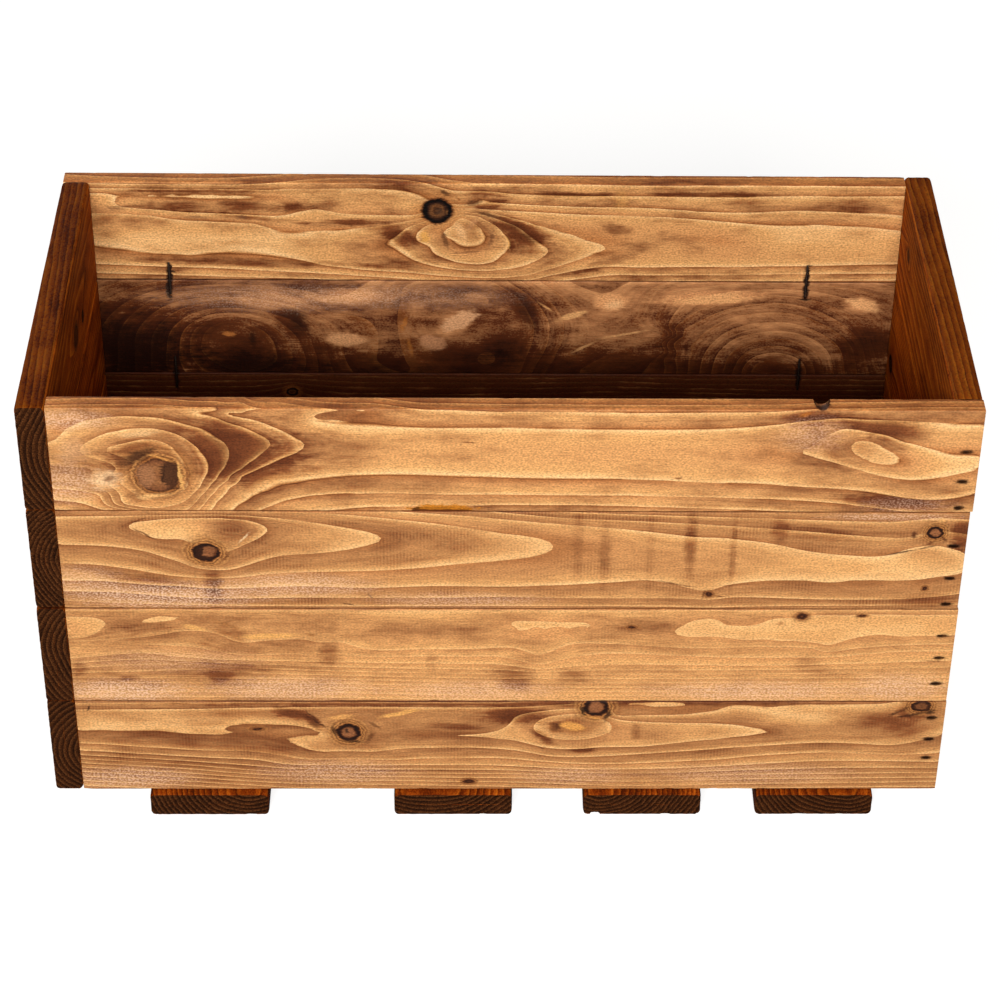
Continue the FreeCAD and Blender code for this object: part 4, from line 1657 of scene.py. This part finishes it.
FRONT_BOTTOM = Figure(
    seed=41, ring_width=7.0, pith_depth=30.0, pith_height=26.0, wander=1.2, take=0.42, patchiness=0.32,
    chatter=0.6, line_contrast=0.88,
    lines=(
        YearLine(3, (-340, 16.5, -300, 15.5, -270, 15, -245, 12, -220, 10.5, -205, 10.5, -195, 12, -190, 15,
            -197, 17.5, -209, 19, -197, 21.5, -180, 22.5, -165, 22, -150, 20, -143, 16)),
        YearLine(2.85, (-315, 27, -270, 27, -230, 26, -195, 30)),
        YearLine(3, (-340, 38.5, -280, 39, -240, 39.5, -200, 40.5, -160, 41, -100, 41.5, -50, 41, 0, 41,
            30, 42, 52, 44)),
        YearLine(3, (-138, 13, -150, 12, -160, 10.5, -172, 8.5, -165, 4, -155, -1.5, -147, -4.5, -138, -6.5,
            -120, -6, -100, -6.5, -90, -5.5, -80, -3.5, -60, -2, -40, -1.5, -20, -1.5, 0, -3, 15, -5, 28, -8,
            40, -11, 55, -12, 75, -11.5, 100, -9.5, 130, -7, 160, -4.5, 180, -2, 200, -0.5, 230, 2, 260, 3.5,
            290, 2, 310, 1, 325, 4, 345, 11)),
        YearLine(2, (-65, 13, -50, 11.5, -30, 9.5, 0, 7.5, 12, 6, 22, 3, 32, -0.5, 45, -3, 60, -3.5, 78, -1.5,
            100, -1, 115, -0.5, 130, 1.5, 150, 4.5, 170, 7, 190, 10, 213, 15.5, 200, 20, 185, 23, 160, 24.5,
            130, 25, 100, 27, 91, 29)),
        YearLine(1, oval(58, 20, 31, 14)), YearLine(0.85, (55, 22, 63, 21)),
        YearLine(3, (92, 32.5, 120, 32.5, 150, 34, 166, 37, 150, 40, 120, 41, 100, 43)),
        YearLine(3, (180, 43, 240, 44, 300, 43)), YearLine(2.8, (210, 31, 250, 27)),
        YearLine(2.4, (-92, 21, -60, 22, -30, 22, 0, 25)),
        YearLine(4, (-340, 4, -300, 1, -280, -1, -250, -3.5, -225, -5, -200, -5.5, -180, -8, -165, -11.5,
            -150, -14.5, -120, -14, -80, -15, -60, -13.5, 0, -13, 20, -15, 40, -17, 60, -19, 90, -19.5,
            140, -17, 180, -14, 200, -11, 230, -8.5, 260, -7, 290, -8.5, 320, -9.5, 350, -7)),
        YearLine(5, (-340, -4, -300, -7, -250, -11, -220, -13, -190, -15, -165, -20, -120, -21, -60, -20.5,
            0, -21, 60, -25, 140, -24, 200, -20, 260, -16, 350, -17)),
        YearLine(7, (-340, -13, -250, -20, -165, -28, 0, -30, 100, -34, 200, -31, 350, -29)),
        YearLine(9, (-340, -22, -250, -29, -165, -36, 0, -39, 100, -43, 200, -41, 350, -39)),
        YearLine(11, (-340, -32, -250, -38, -165, -45)), YearLine(13, (-340, -42, -290, -45)),
        YearLine(4, (-340, 45, -200, 46, 0, 46)), YearLine(2.5, (300, 24, 285, 30)),
    ),
    knots=(
        Knot(-117, 14.5, 10.5, 10.0, KnotKind.RINGED, 0.0, 2.6, -6),
        Knot(76, 41, 11.0, 10.0, KnotKind.RINGED, 0.0, 2.0),
        Knot(330, 42, 9.0, 6.0, KnotKind.RINGED, 0.3, 1.8),
        Knot(-188, 18, 4.5, 1.6, KnotKind.SPIKE, 0.0, 3.0),
        Knot(-23, -38, 5.0, 3.0, KnotKind.SPIKE, 0.1, 3.0),
    ),
    stains=(
        Stain(-20, 46, 360, 6, 0.7), Stain(-160, 34, 22, 7, 1.0, -14), Stain(-144, 25, 12, 6, 1.1, -50),
        Stain(-168, 14, 34, 9, -0.45), Stain(-35, 21, 34, 5, 0.4, -3), Stain(14, 32, 38, 13, 0.95),
        Stain(34, 10, 18, 6, 0.8, -38), Stain(45, 20, 8, 9, 1.1), Stain(58, 20, 24, 12, 0.5),
        Stain(66, -4, 16, 5, 0.5), Stain(108, 16, 6, 14, 0.4), Stain(300, 27, 30, 14, 0.35),
        # Painted shade: Stain(-220, -5) darkens the left part of the board.
        Stain(318, 18, 22, 12, 0.3), Stain(-220, -5, 170, 60, 0.3), Stain(326, 38, 18, 14, 0.9),
        Stain(-270, 27, 80, 12, -0.3), Stain(235, 28, 50, 10, -0.35),
    ),
    # Painted sheen: pale speckled highlights where raised fibres catch the light.
    painted_sheens=(
        Stain(-290, -34, 70, 16, 0.6), Stain(-130, -28, 80, 18, 0.45), Stain(60, -32, 60, 14, 0.35),
        Stain(200, -30, 110, 16, 0.35),
    ),
    marks=(
        Mark(-78, 34, 19, 3.0, "dda158", 0.85, 0.5, 14), Mark(-124, 30.5, 14, 3.0, "d99c58", 0.75, 0.6, 10),
        Mark(-119, 16, 2.0, 3.4, "1a0c06", 0.8, 0.7), Mark(-114, 5, 12, 2.2, "2a1206", 0.8, 0.8, -8),
        Mark(-128, 16, 3.0, 9, "2a1206", 0.8, 0.8, 12), Mark(-97, 22, 9, 2.0, "5a3016", 0.7, 0.8, -40),
        Mark(-140, 24, 14, 1.4, "3a1c0c", 0.8, 0.8, -44), Mark(-146, 33, 12, 1.4, "4a2610", 0.8, 0.8, -50),
        Mark(-334, 22, 2.2, 16, "e0bc94", 0.5, 0.9), Mark(-100, 10, 3.4, 11, "5a3016", 0.7, 0.8, -24),
        Mark(58, 21, 12, 4.8, "d9984c", 0.85, 0.4, -8), Mark(87, 17, 1.8, 8, "e0ac70", 0.5, 0.9, 10),
        Mark(74, 40, 5, 6, "8c5836", 0.8, 0.7), Mark(66, 38, 3.2, 7, "180a04", 0.9, 0.7, 8),
        Mark(85, 33, 3.0, 9, "241006", 0.85, 0.7, -14), Mark(74, 30, 9, 2.2, "cf8e44", 0.7, 0.8, -12),
        Mark(-318, 40, 4, 1.2, "3a1c0c", 0.9, 0.8, 60), Mark(-250, 39.5, 66, 0.8, "5a2c14", 0.7),
        Mark(33, -2, 5, 1.1, "5a2c14", 0.8, 0.8, -30), Mark(160, -6.5, 4.5, 1.3, "7a4824", 0.8, 0.8, 10),
        Mark(312, 36, 16, 2.0, "4a2410", 0.8, 0.8, 34), Mark(322, 33, 18, 1.6, "3a1a0a", 0.85, 0.8, 14),
        Mark(330, 42, 9, 5, "5e3418", 0.7), Mark(338, 36, 5, 4, "241006", 0.8, 0.8, 20),
    ),
)

FRONT_FIGURES = (FRONT_TOP, FRONT_UPPER, FRONT_LOWER, FRONT_BOTTOM)


@dataclass
class FrontWall:
    """The four boards of the front wall, numbered from the rim down."""

    arris: float = 1.5
    slot: str = "side_board_timber"
    notch_radius: float = 6.4
    notch_along: float = 231.7
    notch_front_depth: float = 0.7
    notch_inner_depth: float = 5.1

    def notch(self, low: Vector, high: Vector) -> BMesh:
        """Shapes the lost knot's hollow in the rim.

        Args:
            low: The top board's lowest corner in mm.
            high: The top board's highest corner in mm.

        Returns:
            The sloping bar to cut away, in metres.
        """
        bar = bmesh.new()
        sides, rings = 40, 24
        overrun = 8.0
        fall = (self.notch_inner_depth - self.notch_front_depth) / (high.y - low.y)
        loops = []
        for step in range(rings + 1):
            place = low.y - overrun + (high.y - low.y + 2 * overrun) * step / rings
            axis = high.z + self.notch_radius - self.notch_front_depth - fall * (place - low.y)
            loop = []
            for side in range(sides):
                turn = 2 * math.pi * side / sides
                reach = self.notch_radius * (1 + 0.05 * noise.noise(Vector((math.cos(turn), math.sin(turn),
                                                                            place / 6.0)) * 1.7))
                loop.append(bar.verts.new(Vector((self.notch_along + reach * math.cos(turn), place,
                                                  axis + reach * math.sin(turn))) * MM))
            loops.append(loop)
        for loop, following in zip(loops, loops[1:]):
            for side in range(sides):
                other = (side + 1) % sides
                bar.faces.new((loop[side], loop[other], following[other], following[side]))
        bar.faces.new(loops[0])
        bar.faces.new(loops[-1][::-1])
        bmesh.ops.recalc_face_normals(bar, faces=bar.faces)
        return bar

    def build(self) -> None:
        """Shapes and dresses the four boards."""
        maker = BoardMaker((StapleGroup.FRONT_RIGHT, StapleGroup.FRONT_TIES))
        for number, figure in enumerate(FRONT_FIGURES, start=1):
            node = f"front_board_{number}"
            low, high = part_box(node)
            low, high = low / MM, high / MM
            lie = Lie(Axis.X, Axis.Z, Axis.Y, (low.z + high.z) / 2, low.y, 1.0)
            plank = Plank(node, lie, self.arris, joined_below=number < 4, joined_above=number > 1)
            chips: tuple[Chip, ...] = ()
            extra = []
            if number == 1:
                extra.append(self.notch(low, high))
                chips = (
                    Chip((-58.0, low.y - 0.5, low.z - 0.5), (9.0, 3.0, 6.0), 3),
                    Chip((-38.0, low.y - 0.5, low.z - 0.5), (26.0, 2.8, 5.0), 5),
                )
            maker.build(plank, figure, PLANED_PINE, self.slot, chips, extra)


# The grain of the back wall's boards, from the rim down, as it lies on the real boards: along and
# across each board in mm, measured from its middle.
BACK_TOP = Figure(
    seed=53, ring_width=8.0, pith_depth=40.0, pith_height=-5.0, wander=1.4, take=0.2, patchiness=0.9,
    lines=(
        YearLine(1, (-42, 4, -40, -6, -32, -13, -22, -14, -13, -11, -10, -3, -16, 6, -24, 12, -33, 14,
            -42, 4)),
        YearLine(2, (-46, 10, -56, 8, -66, 1, -68, -4, -66, -9, -58, -13, -54, -20, -45, -25, -30, -30,
            -15, -31, -5, -29, 3, -22, 9, -14, 9, -8, 2, 2, -8, 11, -20, 17, -30, 18)),
        YearLine(3, (-60, 11, -72, 6, -82, -2, -92, -9, -85, -16, -75, -24, -60, -31, -40, -35.5, -20, -37,
            0, -36, 20, -32, 34, -25, 41, -16, 30, -6, 12, 8, -8, 16, -22, 19)),
        YearLine(4, (-335, 17, -300, 17, -280, 15, -260, 12, -240, 11, -220, 10, -200, 8.5, -190, 6, -180, 2,
            -160, 0.5, -140, 2, -110, 4.5, -90, 8, -70, 12)),
        YearLine(4, (-335, -14, -290, -21.5, -270, -23, -250, -24, -230, -22, -200, -22.5, -180, -25,
            -160, -28.5, -140, -33, -110, -37, -80, -39, -50, -42, -20, -44, 5, -44, 25, -41, 45, -34,
            60, -28, 75, -22, 89, -14, 70, -6, 50, 2, 30, 8, 15, 13, 0, 17.5, -20, 21)),
        YearLine(3.82, (-290, -4, -240, -6, -200, -8)), YearLine(3.6, (-140, -14)),
        YearLine(5, (-335, 36.5, -280, 36, -230, 36, -200, 35, -180, 32.5, -165, 27, -150, 22, -125, 18,
            -95, 16.5, -68, 17)),
        YearLine(6, (-335, 41, -250, 40.5, -180, 40.5, -120, 42, -80, 41, -62, 36)),
        YearLine(5.5, (-300, 27, -200, 24, -120, 28, -90, 27)),
        YearLine(5, (-30, 23, 0, 22, 30, 21, 60, 19, 100, 17.5, 150, 15.5, 200, 11, 230, 9.5, 260, 10, 300, 8,
            335, 3)),
        YearLine(6, (-15, 33, 10, 28.5, 40, 26.5, 80, 25.5, 120, 25, 160, 22, 200, 21, 250, 23, 300, 21,
            335, 19)),
        YearLine(7, (-10, 40, 10, 38, 60, 36.5, 110, 36.5, 180, 36, 250, 37, 335, 38)),
        YearLine(7.9, (-20, 47, 100, 45.5, 335, 46)), YearLine(4.4, (120, -4, 140, -16)),
        YearLine(4.75, (230, -8, 310, -12)),
        YearLine(5, (18, -47, 40, -42, 60, -37, 85, -33, 110, -33.5, 150, -33, 200, -32, 250, -31.5, 300, -30,
            335, -29)),
        YearLine(6, (60, -46, 90, -41, 120, -41, 170, -40.5, 230, -39, 280, -38.5, 335, -38)),
        YearLine(7, (150, -46.5, 335, -45)),
        YearLine(5, (-335, -32, -290, -34, -230, -36, -180, -38.5, -130, -41.5, -80, -45)),
        YearLine(6, (-335, -41, -250, -43, -150, -46)),
    ),
    knots=(Knot(-50, 21, 12.5, 12.0, KnotKind.DEAD, 0.0, 2.4),),
    stains=(
        Stain(-80, -4, 26, 12, 0.9, -30), Stain(-20, 0, 24, 26, 0.45), Stain(20, 2, 36, 12, 1.0, -28),
        Stain(20, -12, 30, 14, 0.6), Stain(-8, 26, 18, 8, 0.9, 20), Stain(-230, 24, 110, 8, 0.8),
        Stain(-200, 14, 60, 4, 0.7, -6), Stain(-130, 9, 50, 5, 1.0, 3), Stain(-220, 39, 120, 3, 0.6),
        Stain(-200, -30, 150, 7, 0.7, -2), Stain(95, 4, 20, 9, 0.8, -20), Stain(115, -14, 14, 8, 0.5),
        Stain(85, -30, 36, 7, 0.8, 18), Stain(60, 37, 60, 3.5, 0.9), Stain(180, 38, 90, 3.0, 0.7),
        Stain(-5, 40, 34, 8, 0.8), Stain(-260, -4, 80, 14, -0.5), Stain(-170, -12, 70, 14, -0.3),
        Stain(230, -10, 110, 20, -0.25),
    ),
    marks=(
        Mark(-268, -38, 1.9, 10, "180a05", 0.95, 0.5), Mark(-270, -33, 3.8, 1.1, "241008", 0.85, 0.7, 30),
        Mark(-266, -39, 3.6, 1.3, "241008", 0.85, 0.7, -20),
        Mark(-269, -44, 3.2, 1.4, "180a05", 0.9, 0.7, 10), Mark(255, -39, 1.6, 9, "241008", 0.9, 0.6),
        Mark(255, -31, 5.4, 1.2, "341a0c", 0.8, 0.7, 4), Mark(254, -44, 3.6, 2.2, "180a05", 0.9, 0.7),
        Mark(-31, 1, 6, 12, "e4b078", 0.8, 0.8, 24), Mark(-44, -6, 3.4, 13, "4e2c18", 0.7, 0.8, 14),
        Mark(-25, -18.5, 16, 2.0, "5a3420", 0.6, 0.9, 4), Mark(-6, -6, 2.6, 12, "5a3420", 0.6, 0.9, -14),
        Mark(-60, -4, 5, 8, "d89c4c", 0.7, 0.6, 10), Mark(-22, 8, 4, 12, "c08a5c", 0.5, 0.9, -35),
        Mark(-8, 17, 22, 2.6, "4a2814", 0.8, 0.8, -18), Mark(8, -10, 1.6, 9, "e0a860", 0.6, 0.9, 8),
        Mark(-20, 29, 12, 4.0, "4a2814", 0.7, 0.9, 22), Mark(-48, 20, 6, 6, "4a3222", 0.6, 0.9),
        Mark(-42, 20, 2, 3, "8a5a30", 0.7, 0.9), Mark(-44, 38.5, 7, 2.4, "3a2010", 0.8, 0.8, -30),
        Mark(-33, 32, 2, 2.2, "7a3e14", 0.8, 0.9), Mark(-244, 14, 12, 2.2, "5e3c2a", 0.6, 0.9),
        Mark(-208, 14, 8, 2.4, "5e3c2a", 0.6, 0.9), Mark(-310, 22, 12, 3.4, "6e4a34", 0.5, 0.9),
        Mark(99, 31, 9, 14, "dca050", 0.25, 0.9),
    ),
)

BACK_BURRED = Figure(
    seed=59, ring_width=5.5, pith_depth=16.0, pith_height=-16.0, wander=3.4, wander_length=38.0, take=0.72,
    patchiness=0.6, chatter=0.1, line_contrast=0.42,
    lines=(
        YearLine(2.35, (-223, -12)),
        YearLine(3, (-248, -22, -244, -6, -234, 3, -221, 6, -206, 3, -194, -4, -186, -16, -184, -32)),
        YearLine(5, (-266, -30, -262, -6, -246, 9, -223, 14, -198, 11, -178, 2, -166, -12, -160, -34)),
        YearLine(7, (-290, -36, -286, -6, -262, 18, -226, 25, -190, 21, -160, 10, -146, -8, -140, -36)),
        YearLine(9, (-318, -40, -312, 0, -280, 28, -226, 36, -176, 31, -140, 16, -112, 10, -98, -6,
            -100, -34)),
        YearLine(8.3, oval(-35, 2, 18, 13)), YearLine(9, (-78, 40, -84, 10, -82, -15, -76, -44)),
        YearLine(9, (-5, 46, 15, 32, 28, 10, 30, -10, 20, -44)),
        YearLine(11, (20, 46, 42, 28, 55, 5, 52, -20, 40, -46)),
        YearLine(12, (60, -25, 75, -15, 95, -7, 110, -2, 130, -2, 140, -6)),
        YearLine(11, (70, -42, 92, -26, 114, -18, 136, -22)), YearLine(12.6, (80, 24, 105, 25)),
        YearLine(1, (214, -44, 218, -36, 232, -31, 248, -36, 252, -44)),
        YearLine(3, (198, -46, 203, -30, 216, -20, 234, -17, 252, -22, 264, -32, 268, -46)),
        YearLine(5, (180, -46, 184, -26, 198, -10, 220, -3, 240, -2, 262, -9, 278, -24, 284, -46)),
        YearLine(7, (160, -46, 162, -22, 174, -2, 196, 12, 226, 17, 252, 14, 276, 2, 296, -16, 304, -46)),
        YearLine(9, (140, -46, 142, -20, 152, 6, 176, 24, 210, 33, 246, 33, 280, 22, 306, 2, 322, -40)),
        YearLine(10.5, (150, 34, 200, 42, 260, 42, 310, 30, 330, 14)),
    ),
    blurs=(
        Stain(-150, -14, 34, 40, 0.6), Stain(-222, -10, 36, 26, 0.9), Stain(-20, 0, 60, 50, 0.6),
        Stain(100, 0, 50, 60, 0.6), Stain(318, 0, 34, 60, 0.8),
    ),
    stains=(
        Stain(-128, -12, 22, 9, -0.9), Stain(-35, 4, 24, 14, -0.7, 28), Stain(-58, -16, 13, 11, -0.5),
        # Painted shade and light: Stain(0, -52) darkens the whole board towards the bottom, in the shadow of
        # the front wall, and Stain(170, 44) lightens it along the top.
        Stain(-223, 0, 60, 34, 0.3), Stain(0, -52, 420, 44, 0.8), Stain(170, 44, 200, 26, -0.3),
        Stain(222, 6, 70, 18, -0.3), Stain(93, 26, 18, 12, -1.1), Stain(175, 31, 60, 9, -1.2, 4),
        # Painted light: Stain(0, 46) lightens the board along its top.
        Stain(300, 25, 18, 11, -1.0), Stain(0, 46, 380, 5, -0.3), Stain(-180, 26, 60, 14, -0.5),
        # Painted shade: Stain(-310, -20) and Stain(-210, -34) darken the left end and the bottom left.
        Stain(-120, 32, 50, 10, -0.7), Stain(-310, -20, 80, 60, 1.3), Stain(-210, -34, 90, 24, 0.7),
        Stain(-172, 5, 14, 26, 0.7, 30), Stain(20, 22, 16, 34, 0.5, 40), Stain(10, -18, 30, 24, 0.6),
        Stain(310, -16, 34, 26, 0.8), Stain(145, -12, 20, 34, 0.4),
    ),
    # Painted sheen: pale speckled highlights where raised fibres catch the light.
    painted_sheens=(Stain(-180, 30, 140, 20, 0.28), Stain(-60, 32, 110, 18, 0.22)),
    marks=(
        Mark(-271, 37, 3.0, 11, "0c0302", 0.95, 0.5), Mark(254, 37, 3.4, 9, "1a0a05", 0.9, 0.6),
        Mark(254, 30, 6.0, 1.6, "1a0a05", 0.8, 0.7, -6), Mark(-223, -7, 6.5, 3.2, "b06c34", 0.8, 0.6),
        Mark(-127, -12, 19, 8, "c48e60", 0.85, 0.4, -6), Mark(-32, 7, 20, 9, "c8956a", 0.8, 0.35, 34),
        Mark(-54, -15, 14, 9, "b8825a", 0.75, 0.45, -20), Mark(-78, 3, 3.0, 10, "a8662a", 0.6, 0.8, -14),
        Mark(-73, -20, 2.6, 13, "a8662a", 0.6, 0.8, 12), Mark(96, 24, 11, 8, "daa874", 0.75, 0.9),
        Mark(62, 13, 15, 4.0, "d09a62", 0.85, 0.5, 18), Mark(40, 21, 10, 1.6, "c89058", 0.8, 0.8, -38),
        Mark(178, 30, 40, 6, "d89e66", 0.75, 0.5, 4), Mark(303, 25, 18, 7, "d8a06a", 0.75, 0.5, -18),
        Mark(105, -6, 28, 1.8, "cc9660", 0.8, 0.8, 12), Mark(72, -19, 15, 1.8, "cc9660", 0.8, 0.8, 30),
        Mark(-190, 12, 20, 1.6, "8e5a34", 0.6, 0.9, -38), Mark(232, -32, 19, 9, "5a2a0e", 0.6, 0.9),
        Mark(-204, -12, 5, 11, "100502", 0.7, 0.9), Mark(-165, 6, 12, 20, "140703", 0.6, 0.9, 20),
        Mark(26, 14, 10, 26, "1c0c05", 0.5, 0.9, 20),
    ),
)

# The heavy take of back boards 3 and 4 darkens them to a soaked red brown, a painted shade for the lower back
# wall in the shadow of the front wall.
BACK_FIGURES = (BACK_TOP, BACK_BURRED, wild_figure(61, 678, take=2.1), wild_figure(67, 678, take=1.6))


@dataclass
class BackWall:
    """The four boards of the back wall, numbered from the rim down. Their show faces look into the trough."""

    arris: float = 1.5
    slot: str = "side_board_timber"

    def build(self) -> None:
        """Shapes and dresses the four boards."""
        maker = BoardMaker((StapleGroup.BACK_LEFT, StapleGroup.BACK_TIES))
        for number, figure in enumerate(BACK_FIGURES, start=1):
            node = f"back_board_{number}"
            low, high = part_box(node)
            lie = Lie(Axis.X, Axis.Z, Axis.Y, (low.z + high.z) / 2 / MM, low.y / MM, 1.0)
            plank = Plank(node, lie, self.arris, joined_below=number < 4, joined_above=number > 1)
            maker.build(plank, figure, BURRED_PINE_PAINTED_SHADE if number == 2 else PLANED_PINE, self.slot)


@dataclass
class EndWall:
    """The four boards of one end, numbered from the rim down. Their show faces look into the trough."""

    side: str
    outward: float
    groups: tuple[StapleGroup, ...]
    first_seed: int
    take: float
    arris: float = 3.5
    slot: str = "end_board_timber"

    def build(self) -> None:
        """Shapes and dresses the four boards."""
        maker = BoardMaker(self.groups)
        for number in range(1, 5):
            node = f"{self.side}_end_board_{number}"
            low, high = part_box(node)
            face = (low.x if self.outward > 0 else high.x) / MM
            lie = Lie(Axis.Y, Axis.Z, Axis.X, (low.z + high.z) / 2 / MM, face, self.outward)
            figure = wild_figure(self.first_seed + number, 300, ring_width=3.4, take=self.take)
            plank = Plank(node, lie, self.arris, saw_roughness=0.5, joined_below=number < 4,
                          joined_above=number > 1)
            maker.build(plank, figure, SOAKED_PINE, self.slot)


@dataclass
class CrossSlats:
    """The four cross slats under the walls, which are the trough's feet."""

    arris: float = 4.0
    slot: str = "slat_timber"

    def build(self) -> None:
        """Shapes and dresses the four slats."""
        maker = BoardMaker((StapleGroup.BASE,))
        for number in range(1, 5):
            node = f"base_slat_{number}"
            low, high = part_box(node)
            low, high = low / MM, high / MM
            lie = Lie(Axis.Y, Axis.X, Axis.Z, (low.x + high.x) / 2, high.z, -1.0)
            chips = (
                (Chip((high.x - 14, low.y, low.z - 0.6), (7, 5, 1.4), 2),),
                (Chip((high.x - 22, low.y, low.z - 0.8), (9, 6, 1.6), 4),),
                (Chip((low.x + 9.5, low.y - 1, low.z - 0.6), (4.5, 5, 3.6), 6),
                 Chip((low.x + 66, low.y, low.z - 0.6), (7, 5, 1.6), 7)),
                (Chip((low.x + 36, low.y, low.z - 0.9), (12, 6, 1.9), 8),
                 Chip((high.x - 26, low.y, low.z - 0.9), (10, 6, 1.7), 9)),
            )[number - 1]
            plank = Plank(node, lie, self.arris, saw_roughness=0.6)
            figure = wild_figure(70 + number, 332, ring_width=4.0, take=1.1)
            maker.build(plank, figure, SOAKED_PINE, self.slot, chips)


@dataclass
class FloorBoards:
    """The loose-laid floor inside the walls, lengthwise on the slats."""

    arris: float = 1.5
    slot: str = "floor_timber"

    def build(self) -> None:
        """Shapes and dresses the floor boards."""
        maker = BoardMaker((StapleGroup.FLOOR,))
        for number in range(1, 4):
            node = f"floor_board_{number}"
            low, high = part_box(node)
            lie = Lie(Axis.X, Axis.Y, Axis.Z, (low.y + high.y) / 2 / MM, high.z / MM, -1.0)
            maker.build(Plank(node, lie, self.arris, step=6.0), wild_figure(80 + number, 654, take=0.55),
                        SAWN_WHITEWOOD, self.slot)


@dataclass
class Studio:
    """The pale floor, the soft lights and the camera."""

    floor_half_size: float = 6.0
    target: Triple = (0.0, 0.0, 0.2)

    def floor(self) -> None:
        """Lays a pale matt floor, glowing a little as a light table does."""
        mesh = bpy.data.meshes.new("studio_floor")
        half = self.floor_half_size
        mesh.from_pydata([(-half, -half, 0), (half, -half, 0), (half, half, 0), (-half, half, 0)], [],
                         [(0, 1, 2, 3)])
        floor = bpy.data.objects.new("studio_floor", mesh)
        bpy.context.scene.collection.objects.link(floor)
        material, tree = new_material("white_light_table_acrylic")
        coordinates = add(tree, "TexCoord")
        haze = add(tree, "TexNoise", {"Vector": coordinates.outputs["Object"], "Scale": 2.0, "Detail": 1.0})
        tint = set_ramp(add(tree, "ValToRGB", haze), ((0.3, "b0b0af"), (0.7, "b4b4b4")))
        rough = add(tree, "MapRange", haze, 0.0, 1.0, 0.8, 0.95)
        path = add(tree, "LightPath")
        glow = add(tree, "MapRange", path.outputs["Is Camera Ray"], 0.0, 1.0, 0.0, 0.78)
        shader = add(tree, "BsdfPrincipled", {"Base Color": tint, "Roughness": rough,
                                              "Specular IOR Level": 0.1, "Emission Color": linear("ffffff"),
                                              "Emission Strength": glow})
        add(tree, "OutputMaterial", {"Surface": shader})
        mesh.materials.append(material)

    def light(self, name: str, place: Triple, size: Pair, power: float,
              tint: str) -> None:
        """Hangs one soft box, turned to the trough.

        Args:
            name: The lamp's name.
            place: Where it hangs, in metres.
            size: Its width and height in metres.
            power: Its power in watts.
            tint: Its colour.
        """
        data = bpy.data.lights.new(name, "AREA")
        data.shape = "RECTANGLE"
        data.size, data.size_y = size
        data.energy = power
        data.color = linear(tint)[:3]
        lamp = bpy.data.objects.new(name, data)
        bpy.context.scene.collection.objects.link(lamp)
        lamp.location = place
        lamp.rotation_euler = (Vector(self.target) - Vector(place)).to_track_quat("-Z", "Y").to_euler()

    def world(self) -> None:
        """Fills the shadows with a dim pale sky that the camera sees as white."""
        world = bpy.data.worlds.new("studio_air")
        bpy.context.scene.world = world
        world.use_nodes = True
        tree = world.node_tree
        tree.nodes.clear()
        path = add(tree, "LightPath")
        strength = add(tree, "MapRange", path.outputs["Is Camera Ray"], 0.0, 1.0, 0.1, 0.95)
        background = add(tree, "Background", {"Color": linear("fbfaf8"), "Strength": strength.outputs[0]})
        add(tree, "OutputWorld", {"Surface": background})

    def camera(self) -> None:
        """Stands the camera where the photograph was taken from."""
        data = bpy.data.cameras.new("camera")
        data.sensor_width = 36.0
        data.lens = 104.52
        data.shift_x = -0.05
        data.shift_y = -0.08
        data.clip_end = 60.0
        camera = bpy.data.objects.new("camera", data)
        bpy.context.scene.collection.objects.link(camera)
        pitch, yaw, roll = (math.radians(angle) for angle in (36.603, 1.975, 1.362))
        stand = Euler((math.pi / 2 - pitch, 0.0, -yaw)).to_matrix() @ Matrix.Rotation(roll, 3, "Z")
        camera.matrix_world = Matrix.Translation((-0.0232, -1.8395, 1.6368)) @ stand.to_4x4()
        bpy.context.scene.camera = camera

    def build(self) -> None:
        """Sets up the whole studio."""
        bpy.context.scene.view_settings.view_transform = "Standard"
        bpy.context.scene.view_settings.look = "None"
        self.floor()
        self.light("key_soft_box", (-0.35, -4.5, 2.9), (2.6, 1.0), 300.0, "fffdfa")
        self.light("top_soft_box", (0.2, -1.0, 3.0), (1.6, 0.8), 20.0, "fff6ea")
        self.light("back_soft_box", (-1.0, 4.5, 1.2), (2.6, 1.0), 30.0, "fffdfa")
        self.world()
        self.camera()


def main() -> None:
    """Builds every sub-assembly in order and the studio round them."""
    logging.basicConfig(level=logging.INFO, format="%(name)s: %(message)s")
    Studio().build()
    FrontWall().build()
    BackWall().build()
    EndWall("left", -1.0, (StapleGroup.FRONT_LEFT,), 100, 0.6).build()
    EndWall("right", 1.0, (StapleGroup.BACK_RIGHT,), 120, 0.4).build()
    CrossSlats().build()
    FloorBoards().build()
    STAPLES.dress()


if __name__ == "__main__":
    main()
